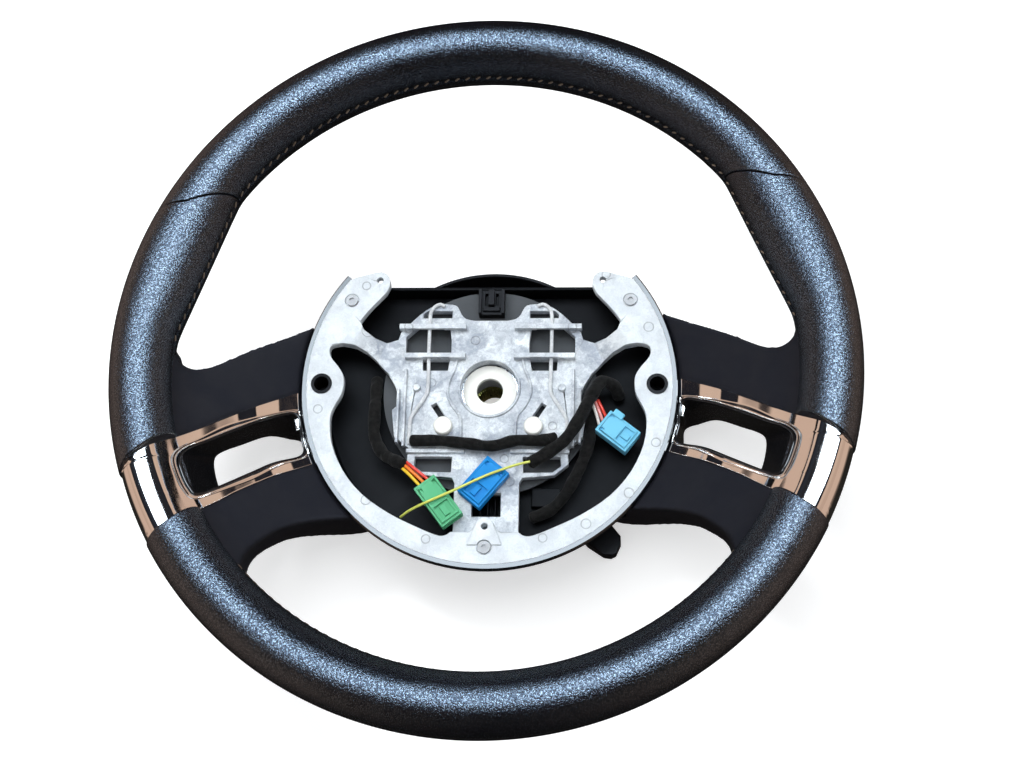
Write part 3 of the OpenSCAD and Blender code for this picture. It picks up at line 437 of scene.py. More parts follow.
def hide(name, base, light):
    """Grip leather: a fine pebbled grain, with patches worn smoother and paler. The grain's pits are darker
    and shine less, painted shade, and the shine is tinted blue, the painted colour of cool light.
    """
    f = Finish(name, specular_ior_level=1.0, ior=1.8)
    grain = f.use(GRAIN, Scale=1250.0, Fineness=0.9)
    height, patches = grain["Height"], grain["Patches"]
    # Specular tint: blue, the painted colour of the cool overhead light, and darker in the grain's pits,
    # painted shade
    f.feed("Specular Tint", f.blend(f.spread(height, 0.60, 1.0), (0.68, 0.78, 0.91), (0.21, 0.26, 0.34)))
    colour = f.blend(f.spread(patches, 0.40, 0.66), base, light)
    # The base colour is darker in the grain's pits: painted shade
    f.feed("Base Color", f.blend(f.spread(height, 0.45, 1.0), colour, dim(base, 0.55)))
    f.feed("Roughness", f.spread(f.plus(patches, f.times(height, 0.25)), 0.45, 0.85, 0.15, 0.24))
    f.feed("Normal", f.bump(height, 0.00019))
    return f.material


def skin(name, base, roughness, scale=2600.0, depth=0.00006, light=None, coat=0.0, shine=0.12):
    """Moulded plastic or foam skin: a fine spark-eroded grain, with smudges that are a little shinier."""
    f = Finish(name, specular_ior_level=shine, coat_weight=coat, coat_roughness=0.08)
    smudge = f.use(MOTTLE, Scale=34.0, Low=0.35, High=0.75)["Mask"]
    light = light or tuple(min(1.0, v * 1.5 + 0.003) for v in base)
    f.feed("Base Color", f.blend(f.times(smudge, 0.5), base, light))
    f.feed("Roughness", f.spread(smudge, 0.0, 1.0, roughness + 0.05, roughness - 0.07))
    f.feed("Normal", f.bump(f.noise(f.coordinates(), scale, 2.0), depth, 0.5))
    return f.material


def plated(name, base, roughness):
    """Polished plating: a mirror with the slightest waviness and a few specks."""
    f = Finish(name, metallic=1.0)
    c = f.coordinates()
    specks = f.spread(f.noise(c, 900.0, 2.0), 0.72, 0.80)
    f.feed("Base Color", f.blend(f.times(specks, 0.4), base, (0.30, 0.28, 0.27)))
    f.feed("Roughness", f.spread(f.use(MOTTLE, Scale=70.0)["Mask"], 0.0, 1.0, roughness, roughness * 2.2))
    f.feed("Normal", f.bump(f.noise(c, 45.0, 2.0), 0.00006, 0.25))
    return f.material


def turned_steel(name, base, roughness):
    """Machined or drawn steel: fine lines across one direction of a stretched noise."""
    f = Finish(name, metallic=1.0)
    stretched = f.node("ShaderNodeMapping", Vector=f.coordinates())
    stretched.inputs["Scale"].default_value = (1.0, 1.0, 14.0)
    lines = f.noise(stretched.outputs[0], 420.0)
    f.feed("Base Color", f.blend(f.spread(lines, 0.3, 0.7), dim(base, 0.72), base))
    f.feed("Roughness", f.spread(lines, 0.3, 0.7, roughness + 0.12, roughness - 0.06))
    f.feed("Normal", f.bump(lines, 0.00003, 0.4))
    return f.material


# How far the tape advances in one turn
TAPE_STEP = 8.5


def taped(name):
    """Cloth tape wound round a loom: a slanting edge at every TAPE_STEP of the tube's own length, over a fine
    weave of two sets of slanting threads."""
    f = Finish(name, roughness=0.85, specular_ior_level=0.08, sheen_weight=0.06, sheen_roughness=0.5)
    along, round_ = f.split(f.coordinates("UV"))[:2]
    lip = f.spread(f.math("FRACT", f.plus(f.math("DIVIDE", along, TAPE_STEP), round_)), 0.0, 0.16)
    threads = [f.math("SINE", f.times(f.plus(along, f.times(round_, slant)), 11.0)) for slant in (7.0, -21.0)]
    wrinkles = f.noise(f.coordinates(), 330.0, 4.0, 0.6)
    worn = f.spread(wrinkles, 0.35, 0.7)
    f.feed("Base Color", f.blend(worn, (0.003, 0.003, 0.003), (0.013, 0.0125, 0.012)))
    folds = f.bump(f.plus(f.times(lip, 0.9), f.times(wrinkles, 1.3)), 0.00045, 0.8)
    f.feed("Normal", f.bump(f.times(*threads), 0.00006, 0.35, folds))
    return f.material


def insulated(name, base):
    """Wire insulation: smooth and faintly waxy, a little dirty in places."""
    f = Finish(name, roughness=0.38, specular_ior_level=0.5)
    dirt = f.use(MOTTLE, Scale=160.0, Low=0.45, High=0.75)["Mask"]
    f.feed("Base Color", f.blend(f.times(dirt, 0.35), base, dim(base, 0.45)))
    f.feed("Normal", f.bump(f.noise(f.coordinates(), 900.0, 2.0), 0.00004, 0.3))
    return f.material


def thread(name, base):
    """Sewing thread: fibres twisted along the stitch, darker in the twist's grooves as painted shade."""
    f = Finish(name, roughness=0.7, specular_ior_level=0.3)
    twist = f.math("SINE", f.times(f.split(f.coordinates("UV"))[0], 14.0))
    # Darker where the twist's bump is low: painted shade in its grooves
    f.feed("Base Color", f.blend(f.spread(twist, -1.0, 1.0), dim(base, 0.55), base))
    f.feed("Normal", f.bump(twist, 0.00012, 0.5))
    return f.material


ALUMINIUM = cast_metal("cast aluminium", (0.70, 0.735, 0.755), (0.34, 0.37, 0.42), True)
MAGNESIUM = cast_metal("cast magnesium", (0.50, 0.51, 0.53), (0.34, 0.35, 0.37))
WIRE = cast_metal("drawn spring wire", (0.74, 0.765, 0.78), (0.56, 0.58, 0.60))
SCREW = cast_metal("zinc plated screws", (0.50, 0.52, 0.54), (0.34, 0.35, 0.37))
LEATHER = hide("grip leather", (0.0036, 0.0042, 0.0062), (0.009, 0.0105, 0.014))
FOAM = skin("soft-touch foam skin", (0.0080, 0.0084, 0.0120), 0.62, 1500.0, 0.00009, (0.015, 0.0145, 0.017),
            shine=0.13)
CHROME = plated("polished plating", (0.86, 0.84, 0.82), 0.045)
GLOSS = skin("gloss black plastic", (0.006, 0.006, 0.007), 0.16, 1800.0, 0.00002, coat=0.6)
TRAY = skin("black tray plastic", (0.0030, 0.0032, 0.0038), 0.45, 2200.0, 0.00005, (0.006, 0.006, 0.007),
            shine=0.03)
BLACK = skin("black moulded plastic", (0.006, 0.006, 0.007), 0.46, shine=0.06)
GREY = skin("grey grained plastic", (0.055, 0.058, 0.062), 0.55, 2300.0, 0.00010)
WHITE = skin("white plastic", (0.86, 0.86, 0.82), 0.42, 1500.0, 0.00003, (0.72, 0.71, 0.64))
ACETAL = skin("ivory gear plastic", (0.72, 0.69, 0.60), 0.4, 1500.0, 0.00003)
GREEN = skin("green plug plastic", (0.10, 0.40, 0.20), 0.4, 1600.0, 0.00004, (0.16, 0.50, 0.28))
BLUE = skin("blue plug plastic", (0.006, 0.19, 0.52), 0.38, 1600.0, 0.00004, (0.02, 0.29, 0.66))
CYAN = skin("pale blue plug plastic", (0.16, 0.50, 0.70), 0.4, 1600.0, 0.00004, (0.24, 0.60, 0.80))
YELLOW_STEEL = turned_steel("yellow passivated steel", (0.50, 0.49, 0.16), 0.38)
STEEL = turned_steel("ground steel", (0.66, 0.67, 0.69), 0.26)
BRONZE = turned_steel("sintered bronze", (0.55, 0.38, 0.18), 0.45)
TAPE = taped("cloth loom tape")
THREAD = thread("brown sewing thread", (0.17, 0.125, 0.09))
WIRE_YELLOW = insulated("yellow insulation", (0.85, 0.55, 0.03))
WIRE_ORANGE = insulated("orange insulation", (0.90, 0.22, 0.03))
WIRE_RED = insulated("red insulation", (0.72, 0.05, 0.03))
WIRE_WHITE = insulated("white insulation", (0.80, 0.76, 0.72))
WIRE_PINK = insulated("pink insulation", (0.80, 0.30, 0.28))
WIRE_LIME = insulated("lime insulation", (0.62, 0.66, 0.12))

# The solids' own finishes, each with the names of its nodes
NODE_FINISHES = (
    (ALUMINIUM, "hub_frame"), (MAGNESIUM, "armature"), (SCREW, "cover_screws ring_screws"),
    (WIRE, "spring_wire_left spring_wire_right"), (YELLOW_STEEL, "column_bush"), (BRONZE, "planet_bush"),
    (STEEL, "bearing_inner_race bearing_outer_race bearing_balls bearing_circlip"),
    (STEEL, "planet_shaft retaining_clip"),
    (CHROME, "insert_left insert_right"), (GLOSS, "slot_lining_left slot_lining_right hub_trim"),
    (ACETAL, "front_pinion rear_pinion hub_gear"), (WHITE, "boss_washer pad_left pad_right"),
    (BLACK, "rear_cover stator_ring clip_holder sleeve_left sleeve_right"), (TRAY, "hub_tray"),
    (GREY, "gear_cover"), (GREEN, "connector_green"), (BLUE, "connector_blue"), (CYAN, "connector_cyan"),
    (TAPE, "loom_trunk loom_cross loom_lower loom_left"), (WIRE_YELLOW, "leads_green"),
    (WIRE_WHITE, "leads_cyan"), (WIRE_LIME, "signal_wire"), (FOAM, "rim_foam"),
    (LEATHER, "leather_top leather_left leather_right leather_bottom"),
)
for finish, names in NODE_FINISHES:
    for name in names.split():
        nodes[name].data.materials.clear()
        nodes[name].data.materials.append(finish)


# Grip leather

# Profiles of the spoke's front and rear face: distance from the axis and height
DISH = np.array([[100.8, 49.5], [112, 57], [125, 66], [138, 75.2], [150, 84], [158, 91.5], [164, 99.5],
                 [169, 105], [174, 108], [179, 108], [184, 104.8], [187.6, 99.5], [189.3, 93], [189.5, 87]])
BACK_DISH = np.array([[100, 13], [112, 21.5], [125, 37], [140, 54], [150, 64], [160, 72.5], [174, 80]])
# Outlines of the right insert and its slot, seen from the front: x and y
INSERT_HIGH = np.array([[96, 3], [104.6, -2.2], [118.7, -10.5], [133.5, -20], [151, -33], [165.3, -44.4],
                        [172, -49], [178.5, -54], [183, -58.5], [188, -64]])
INSERT_LOW = np.array([[88, -38], [95.4, -41.8], [111.5, -50.7], [126.6, -61.5], [134, -68], [150, -82],
                       [157, -86.7], [163.4, -91], [167, -93], [171, -95.2]])
SLOT_FRONT = np.array([[101.6, -14.2], [108.5, -14.8], [125, -24.2], [141, -35.4], [149, -41.4],
                       [152, -47.5], [149.6, -56], [146, -63], [142.8, -65], [134, -58.9], [112, -42.7],
                       [98.6, -35.5], [99.6, -26]])
SLOT_BACK = np.array([[103.4, -17.8], [110, -17], [121.5, -20.6], [134, -30], [141.6, -36.5], [144, -42],
                      [142.6, -49], [140, -55.5], [137.4, -58], [131, -54.5], [112, -40.4], [101.6, -34.4],
                      [102, -26]])


def edge_angle(line, r):
    """The angle at which an edge line of the insert crosses radius r."""
    x, y = bend(line).T
    radius = np.hypot(x, y)
    order = np.argsort(radius)
    return np.interp(r, radius[order], np.degrees(np.arctan2(y, x))[order])


def insert_reach(theta):
    """Distance from the grip's centre line to the insert's face, in the direction theta of the section."""
    r, z = bend(DISH, 12).T
    a = np.degrees(np.arctan2(z - RIM_Z, r - RIM_R)) % 360
    a = np.where(a > 300, a - 360, a)
    order = np.argsort(a)
    theta = np.where(theta > 300, theta - 360, theta)
    return np.interp(theta, a[order], np.hypot(r - RIM_R, z - RIM_Z)[order])


def thumb_swell(phi):
    """How far the grip's inner side moves in at the thumb rest: the fall of a chord below its circle, where
    it is positive, with the two ends eased."""
    out = np.zeros_like(phi)
    for mid in (THUMB_MID, 180 - THUMB_MID):
        away = np.clip(np.abs((phi - mid + 180) % 360 - 180), 0, 60)
        d = RIM_R - RIM_R * math.cos(math.radians(THUMB_HALF)) / np.cos(np.radians(away))
        out = np.maximum(out, 0.5 * d + 0.5 * np.sqrt(d * d + 1.2))
    return np.where(out < 0.06, 0.0, out)


def centre_line(phi):
    """Points of the rim's centre line."""
    a = np.radians(phi)
    return np.stack([RIM_R * np.cos(a), RIM_R * np.sin(a), RIM_Z + 0 * a], -1)


def grip_points(phi, theta, drop=0.0):
    """The grip at angle phi round the wheel and theta round its section: an oval about the rim's centre
    line, its inner half moved in by the thumb rest's swell and pulled in along the sewn line."""
    t = np.radians(theta)
    inner = 0.5 * (1 - np.cos(t))
    away = np.abs((theta - STITCH_AT + 180) % 360 - 180)
    sewn = 0.55 * np.exp(-((away / 4.2) ** 2))
    w, d = GRIP_W - drop - sewn, GRIP_D - drop - sewn
    r = RIM_R + w * np.cos(t) - thumb_swell(phi) * inner ** 1.6
    z = RIM_Z + d * np.sin(t)
    a = np.radians(phi)
    return np.stack([r * np.cos(a), r * np.sin(a), z + 0 * a], -1)


# Distances from a leather edge at which it has a row of points, and how deep it has turned under at each:
# a quarter circle
EDGE = np.array([0.0, 0.04, 0.15, 0.35, 0.65, 1.0])
EDGE_RADIUS = 0.9


def rolled(distance, r=EDGE_RADIUS):
    x = np.clip(1 - distance / r, 0, 1)
    return r * (1 - np.sqrt(np.maximum(1 - x * x, 0)))


def edge_rows(start, towards, radius):
    """Rows of angles from a leather edge inwards, up or down as towards is 1 or -1, on the radius given."""
    return start + towards * EDGE[:, None] * 360 / (2 * math.pi * radius)


def rows_between(a, b, count):
    """count rows spaced evenly between two rows, without those two."""
    return a + np.linspace(0, 1, count + 2)[1:-1, None] * (b - a)


def back_rows(count, first, last):
    """Rows for the inner side of a sleeve, from its far end back: each of the first and last ones, and
    every fourth between."""
    middle = list(range(first, count - last, 4))
    return list(range(count - 1, count - last - 1, -1)) + middle[::-1] + list(range(first - 1, -1, -1))


# Half the gap between two sleeves at a seam, as an angle
HALF_GAP = 0.06


def seam_angle(theta):
    """The upper seam's angle round the section: it leans, further towards the top on the inner side."""
    c = np.cos(np.radians(theta))
    return SEAM_MID - np.where(c < 0, 6.6, 3.2) * c


def top_leather(sides=120, middle=150):
    """The upper sleeve, from seam to seam: outside along the grip, its two ends turned under, and the inner
    side a little below."""
    theta = np.arange(sides) * 360.0 / sides
    head = edge_rows(seam_angle(theta) + HALF_GAP, 1, 165)
    tail = edge_rows(180 - seam_angle(theta) - HALF_GAP, -1, 165)[::-1]
    phi = np.vstack([head, rows_between(head[-1], tail[0], middle), tail])
    drops = np.concatenate([rolled(EDGE), np.zeros(middle), rolled(EDGE)[::-1]])[:, None]
    rows = back_rows(len(phi), 6, 6)
    theta = np.broadcast_to(theta, phi.shape)
    inner = grip_points(phi[rows], theta[rows], 1.15 + drops[rows])
    return np.concatenate([grip_points(phi, theta, drops), inner])


# The sections of the other sleeves: closer points on the front half, where the insert lies
THETA = np.concatenate([np.linspace(-17.2, 181.5, 92), np.linspace(183.2, 341.2, 50)])
FRONT = THETA <= 182
OVAL_R = np.hypot(GRIP_W * np.cos(np.radians(THETA)), GRIP_D * np.sin(np.radians(THETA)))
FROM_AXIS = np.hypot(*grip_points(np.zeros_like(THETA), THETA)[:, :2].T)
# How deep the leather is pressed in below the insert, in four rows down to the hidden seam
PRESSED = np.tile(np.where(FRONT, np.maximum(OVAL_R - insert_reach(THETA) + 2.6, 0), 0), (4, 1))
# Rows along the plain stretch of such a sleeve, which isn't pressed in
LONG_ROWS = 90
LEVEL = np.zeros((LONG_ROWS, len(THETA)))


def insert_edge(line, farthest, back):
    """The angles of a leather edge beside the insert: along its edge line on the front, and on the back from
    one angle to another between the radii 158 and 190."""
    return np.where(FRONT, edge_angle(line, np.clip(FROM_AXIS, 150, farthest)),
                    np.interp(FROM_AXIS, [158, 190], back))


def sleeve(phi, drops, first, last):
    """A closed sleeve: the grip at the angles phi, drawn in towards its centre line by drops, and an inner
    side 1.2 mm below."""
    centre = centre_line(phi)
    out = grip_points(phi, np.broadcast_to(THETA, phi.shape))
    out = centre + (out - centre) * (1 - drops / OVAL_R)[..., None]
    rows = back_rows(len(out), first, last)
    inner = centre[rows] + (out[rows] - centre[rows]) * (1 - 1.2 / OVAL_R)[None, :, None]
    return np.concatenate([out, inner])


def side_leather():
    """The right sleeve, from its upper seam down past the insert to the hidden seam. Where the insert lies
    the leather is pressed in below it, with an upright turned edge along the insert's outline."""
    upper = insert_edge(INSERT_HIGH, 192, [-12.9, -17.6])
    hidden = np.full_like(THETA, -23.0)
    head = edge_rows(seam_angle(THETA) - HALF_GAP, -1, 172)
    tail = edge_rows(upper, 1, 172)[::-1]
    sunk = np.vstack([upper - 0.01, upper - 0.25, (upper + hidden) / 2, hidden])
    phi = np.vstack([head, rows_between(head[-1], tail[0], LONG_ROWS), tail, sunk])
    turned_in = rolled(EDGE)[:, None] + 0 * THETA
    return sleeve(phi, np.vstack([turned_in, LEVEL, np.where(FRONT, turned_in[::-1], 0), PRESSED]), 6, 10)


def bottom_leather():
    """The lower sleeve: it starts at the hidden seam pressed in below the right insert, comes out along the
    insert's lower edge, and ends the same way on the left."""
    lower = insert_edge(INSERT_LOW, 190, [-28.6, -29.3])
    hidden = np.full_like(THETA, -23.1)
    head = edge_rows(lower, -1, 172)
    sunk = np.vstack([hidden, (lower + hidden) / 2, lower + 0.25, lower + 0.01])
    half = np.vstack([sunk, head, rows_between(head[-1], -90, LONG_ROWS)])
    phi = np.vstack([half, np.full_like(THETA, -90), -180 - half[::-1]])
    drops = np.vstack([PRESSED, np.where(FRONT, rolled(EDGE)[:, None], 0), LEVEL])
    return sleeve(phi, np.vstack([drops, 0 * THETA, drops[::-1]]), 10, 10)


for label, points in (("top", on_rim(top_leather())), ("right", on_rim(side_leather())),
                      ("left", on_rim(side_leather(), "left")), ("bottom", on_rim(bottom_leather()))):
    add_rings("grip_leather_" + label, points, "wheel", LEATHER, "leather_" + label)

STITCH_PITCH = 5.4
STITCH_LENGTH, STITCH_RADIUS = 4.0, 0.48
STITCH_RINGS, STITCH_SIDES = 9, 8


def stitches(name, first, last):
    """Stitches along the sewn line from one angle to another: each is a capsule 4 mm long and 1 mm thick,
    laid at a slant in the grip's surface with its ends sunk in."""
    n = int(abs(math.radians(last - first)) * (RIM_R - GRIP_W) / STITCH_PITCH)
    phi, theta = np.linspace(first, last, n), np.full(n, STITCH_AT)
    step = 0.05
    mid = grip_points(phi, theta, -0.05)
    fore = unit(grip_points(phi + step, theta, -0.05) - mid)
    across = unit(grip_points(phi, theta + step, -0.05) - mid)
    run = fore * 0.72 + across * 0.69
    up = unit(np.cross(run, fore * 0.69 - across * 0.72))
    up *= np.sign(np.einsum("ij,ij->i", up, mid - centre_line(phi)))[:, None]
    u = np.linspace(-1, 1, STITCH_RINGS)[:, None]
    v = np.arange(STITCH_SIDES) * 2 * math.pi / STITCH_SIDES
    thick = STITCH_RADIUS * np.sqrt(np.clip(1 - u ** 6, 0.0004, 1))
    lift = 0.16 - 0.42 * u ** 4
    shape = ((run, STITCH_LENGTH / 2 * u + 0 * v), (up, lift + thick * np.sin(v)),
             (np.cross(up, run), thick * np.cos(v)))
    points = mid[:, None, None] + sum(way[:, None, None] * by[None, :, :, None] for way, by in shape)
    first_points = np.arange(n) * STITCH_RINGS * STITCH_SIDES
    quads = (ring_quads(STITCH_RINGS, STITCH_SIDES)[None] + first_points[:, None, None]).reshape(-1, 4)
    uv = np.tile(ring_uv(STITCH_RINGS, STITCH_SIDES, long=STITCH_LENGTH), (n, 1, 1))
    add_mesh(name, on_rim(points), quads, uv, "wheel", THREAD)


stitches("stitching_top", 37.5, 142.5)
stitches("stitching_right", 6.0, 35.0)
stitches("stitching_left", 174.0, 145.0)
stitches("stitching_bottom", 221.0, 319.0)


# Spokes

def soft_spokes():
    """The foam's solid, remeshed in small cells, smoothed and thinned out, so that its edges turn with a
    small radius as a moulded skin does."""
    obj = copy_of("rim_foam", "spoke_skin", FOAM)
    shape = obj.modifiers.new("skin", "REMESH")
    shape.mode = "VOXEL"
    shape.voxel_size = 1.1 * MM
    relax = obj.modifiers.new("relaxed", "SMOOTH")
    relax.factor = 0.5
    relax.iterations = 14
    fewer = obj.modifiers.new("fewer faces", "DECIMATE")
    fewer.ratio = 0.22
    made = bpy.data.meshes.new_from_object(obj.evaluated_get(bpy.context.evaluated_depsgraph_get()))
    sharp = obj.data
    obj.modifiers.clear()
    obj.data = made
    bpy.data.meshes.remove(sharp)
    made.name = "spoke_skin"
    made.materials.clear()
    made.materials.append(FOAM)
    made.shade_smooth()
    enter(obj, "wheel", "rim_foam")


soft_spokes()


# Bright inserts and slot linings

# The insert's own profile: nearly flat facets that meet in soft creases, less than 0.8 mm from the dish
FACETS = np.array([[100.8, 49.5], [106, 52.9], [110, 55.5], [112, 56.9], [117, 60.6], [121, 63.7],
                   [123.5, 65.35], [127, 67.55], [129.5, 69.15], [132, 70.95], [140, 76.75], [150, 84.1],
                   [158, 91.4], [164, 98.9], [168.4, 104.3], [170.4, 106.2], [173, 107.2], [176.6, 107.75],
                   [180.4, 107.35], [183.3, 105.8], [185.6, 103.0], [187.6, 99.4], [189.3, 93], [189.5, 87]])
FACE_R, FACE_Z = bend(FACETS, 24).T
FACE_S = lengths(np.stack([FACE_R, FACE_Z], 1))
# Unrolled, the face is length along the profile by the angle round the axis, with this many mm to a degree
DEGREE = 2.3


def offset_loop(loop, by):
    """A closed outline moved square to itself, outwards for a clockwise one."""
    d = unit(np.roll(loop, -1, 0) - np.roll(loop, 1, 0))
    return loop + by * np.stack([-d[:, 1], d[:, 0]], 1)


def insert_loops(count):
    """The edge of the insert's slot and its outline, unrolled."""
    x, y = evenly(offset_loop(bend_loop(SLOT_FRONT), SLOT_WALL * 0.72), count).T
    slot = np.stack([np.interp(np.hypot(x, y), FACE_R, FACE_S), np.degrees(np.arctan2(y, x)) * DEGREE], 1)
    s = np.linspace(np.interp(101.2, FACE_R, FACE_S), FACE_S[-1] - 0.3, 300)
    r = np.interp(s, FACE_S, FACE_R)
    high = np.stack([s, (edge_angle(INSERT_HIGH, r) - 0.05) * DEGREE], 1)
    low = np.stack([s, (edge_angle(INSERT_LOW, r) + 0.05) * DEGREE], 1)
    return slot, evenly(np.vstack([high, low[::-1]]), 2400)


def facing_points(inner, outline):
    """Where a ray from the inner loop's middle through each of its points leaves the outline."""
    mid = inner.mean(0)
    a_in = np.unwrap(np.arctan2(*(inner - mid).T[::-1]))
    a_out = np.arctan2(*(outline - mid).T[::-1])
    start = int(np.argmin(np.abs((a_out - a_in[0] + np.pi) % (2 * np.pi) - np.pi)))
    outline, a_out = np.roll(outline, -start, 0), np.unwrap(np.roll(a_out, -start))
    if (a_in[-1] - a_in[0]) * (a_out[-1] - a_out[0]) < 0:
        outline, a_out = np.roll(outline[::-1], 1, 0), np.unwrap(np.roll(a_out[::-1], 1))
    way = np.sign(a_out[-1] - a_out[0])
    share = np.linspace(0, 1, len(outline), endpoint=False)
    order = np.argsort(way * a_out)
    share_in = np.interp(way * a_in, way * a_out[order], share[order])
    chain = closed(outline)
    return np.stack([np.interp(share_in, np.linspace(0, 1, len(chain)), chain[:, k]) for k in (0, 1)], 1)


def on_face(unrolled, step=0.6):
    """Unrolled points laid on the insert's face, and the face's normals from the slope over a short step."""
    s, a = unrolled[..., 0], np.radians(unrolled[..., 1] / DEGREE)
    r, z = np.interp(s, FACE_S, FACE_R), np.interp(s, FACE_S, FACE_Z)
    dr = np.interp(s + step, FACE_S, FACE_R) - np.interp(s - step, FACE_S, FACE_R)
    dz = np.interp(s + step, FACE_S, FACE_Z) - np.interp(s - step, FACE_S, FACE_Z)
    size = np.hypot(dr, dz) + 1e-9
    normal = np.stack([-dz / size * np.cos(a), -dz / size * np.sin(a), dr / size], -1)
    return np.stack([r * np.cos(a), r * np.sin(a), z], -1), normal


# Distances of the insert's first rings from its slot, and of its last ones from its outline
NEAR_RINGS = np.array([0, 0.25, 0.55, 0.9, 1.3, 1.7, 2.1, 2.5, 2.9, 3.3])[:, None]
FAR_RINGS = np.array([0.6, 0.4, 0.22, 0.08, 0.0])[:, None]
# The bead and the groove round the slot: height, distance from the slot, and width
BEAD, GROOVE = (0.30, 1.2, 0.8), (-0.28, 2.7, 0.3)
# Two fine grooves near the rim's outer side: where the face has these heights, and their depth and width
FINE_AT, FINE_DEPTH, FINE_WIDTH = [100.2, 102.6], 0.3, 0.35
INSERT_THICK = 1.8
# The rings that the insert's back follows
BACK_RINGS = [-1, 20, 0]


def hump(x, height, middle, width):
    return height * np.exp(-(((x - middle) / width) ** 2))


def bright_insert(side):
    """The plated insert: rings between its slot and its outline, with turned edges, a raised bead and a
    groove round the slot and two grooves near the rim's outer side, closed by a back behind."""
    inner, outline = insert_loops(360)
    outer = facing_points(inner, outline)
    reach = np.linalg.norm(outer - inner, axis=1)[None]
    from_slot = np.vstack([NEAR_RINGS + 0 * reach, rows_between(NEAR_RINGS[-1], reach - FAR_RINGS[0], 24),
                           reach - FAR_RINGS])
    unrolled = inner[None] + (from_slot / reach)[..., None] * (outer - inner)[None]
    points, normal = on_face(unrolled)
    outer_side = slice(None, len(FACE_Z) * 2 // 3, -1)
    fine = np.interp(FINE_AT, FACE_Z[outer_side], FACE_S[outer_side])
    lift = hump(from_slot, *BEAD) + hump(from_slot, *GROOVE) - 0.02
    lift -= rolled(reach - from_slot, 0.5) + rolled(from_slot, 0.35)
    lift -= hump(unrolled[..., 0, None], FINE_DEPTH, fine, FINE_WIDTH).sum(-1)
    back = (points - normal * INSERT_THICK)[BACK_RINGS]
    points = on_rim(np.concatenate([points + normal * lift[..., None], back]), side)
    add_rings("bright_insert_" + side, points, "wheel", CHROME, "insert_" + side)


LINING_DEPTH = 25


def slot_wall(side, count=300, rings=26):
    """The lining of a spoke's slot: its wall runs from the front outline to the rear one over LINING_DEPTH,
    and on the same slant until it meets the spoke's rear face."""
    front_loop = bend_loop(SLOT_FRONT)
    front, back = evenly(front_loop, count), evenly(front_loop, count, bend_loop(SLOT_BACK))
    top = np.interp(np.hypot(*front.T), FACE_R, FACE_Z)
    steps = np.linspace(0, 1.65, 200)
    xy = front[None] + steps[:, None, None] * (back - front)[None]
    rear = np.interp(np.hypot(xy[..., 0], xy[..., 1]), BACK_DISH[:, 0], BACK_DISH[:, 1])
    last = np.argmax(top[None] - LINING_DEPTH * steps[:, None] <= rear + 0.1, axis=0)
    end = steps[np.where(last == 0, len(steps) - 1, last)]
    share = np.linspace(0, 1, rings)[:, None] * end[None]

    def wall(by, sink):
        f, b = offset_loop(front, by), offset_loop(back, by)
        height = top[None] - sink - (LINING_DEPTH - sink / np.maximum(end, 0.2)[None]) * share
        return np.concatenate([f[None] + share[..., None] * (b - f)[None], height[..., None]], -1)

    lip = wall(0.35, -0.05)[:1]
    points = np.concatenate([wall(0.0, 0.25), wall(SLOT_WALL * 0.9, 0.25)[::-1], lip])
    add_rings("slot_wall_" + side, on_rim(points, side), "wheel", GLOSS, "slot_lining_" + side)


for side in ("right", "left"):
    bright_insert(side)
    slot_wall(side)


# Hub

for name, node, finish, width, body, slot in (
        ("hub_frame_cast", "hub_frame", ALUMINIUM, 0.3, "hub", "cast_aluminium"),
        ("plug_green", "connector_green", GREEN, 0.35, "hub", "green_plastic"),
        ("plug_blue", "connector_blue", BLUE, 0.35, "hub", "blue_plastic"),
        ("plug_pale_blue", "connector_cyan", CYAN, 0.35, "hub", "cyan_plastic"),
        ("clip_block", "clip_holder", BLACK, 0.3, "hub", "black_plastic"),
        ("locking_ring", "stator_ring", BLACK, 0.6, "rear_ring", "black_plastic"),
        ("cover_shell", "rear_cover", BLACK, 0.6, "wheel", "black_plastic"),
        ("tray_shell", "hub_tray", TRAY, 0.5, "hub", "black_plastic"),
        ("white_washer", "boss_washer", WHITE, 0.35, "wheel", "white_plastic")):
    eased(name, node, finish, width, body)

# Looms, leads and wires: their routes are the solids' own

TRUNK = [[69, -1.2, 33], [66.2, 3, 38.5], [59.5, 3.2, 45], [55, -5, 49.4], [51.4, -13, 51.6],
         [46.6, -22.4, 51.8], [40.6, -31, 51.2], [32.5, -37, 49.6], [23, -42.4, 48.2]]
CROSS = [[-39.6, -30.4, 47.5], [-26, -30.6, 48.4], [-11, -32.2, 49], [2.6, -33.6, 49], [15, -30.6, 49],
         [27, -30.4, 48.3], [35.4, -28.6, 47.4]]
LOWER = [[57.4, -11.2, 41.6], [54.2, -20, 41.8], [53.4, -28, 41.6], [50.8, -37, 41], [46.4, -47, 40],
         [41, -56.6, 38.5], [33.5, -64.4, 36.4], [23.6, -68.6, 34.6]]
LEFT = [[-62, 8, 32.4], [-61.6, -2, 36.6], [-61.4, -14, 39.6], [-60.6, -26, 41.4], [-55.6, -36, 43.4],
        [-49.6, -40.4, 46], [-43.8, -43.4, 48]]
SIGNAL = [[22.6, -42.8, 51.6], [14, -45.4, 52.6], [0, -50.8, 52.8], [-16, -58.6, 53.2], [-30, -65, 53],
          [-39, -68.6, 49.6], [-44.4, -70.8, 44]]
SIGNAL_RADIUS, LEAD_RADIUS = 0.7, 0.85
# The leads at a plug: the middle one's route, and how far its neighbours stand off it at each point
GREEN_LEADS = [[-43.2, -43.8, 48], [-38.6, -48, 49.6], [-32.6, -53.2, 48.4]]
GREEN_FAN = [[1.3, 1.5, 0], [1.5, 1.5, 0], [2.2, 1.6, 0]]
CYAN_LEADS = [[56.4, -8.4, 46], [58.4, -13.4, 46.2], [60.2, -18.2, 45]]
CYAN_FAN = [[1.4, 1, 0], [1.5, 1.5, 0], [1.7, 2.2, 0]]


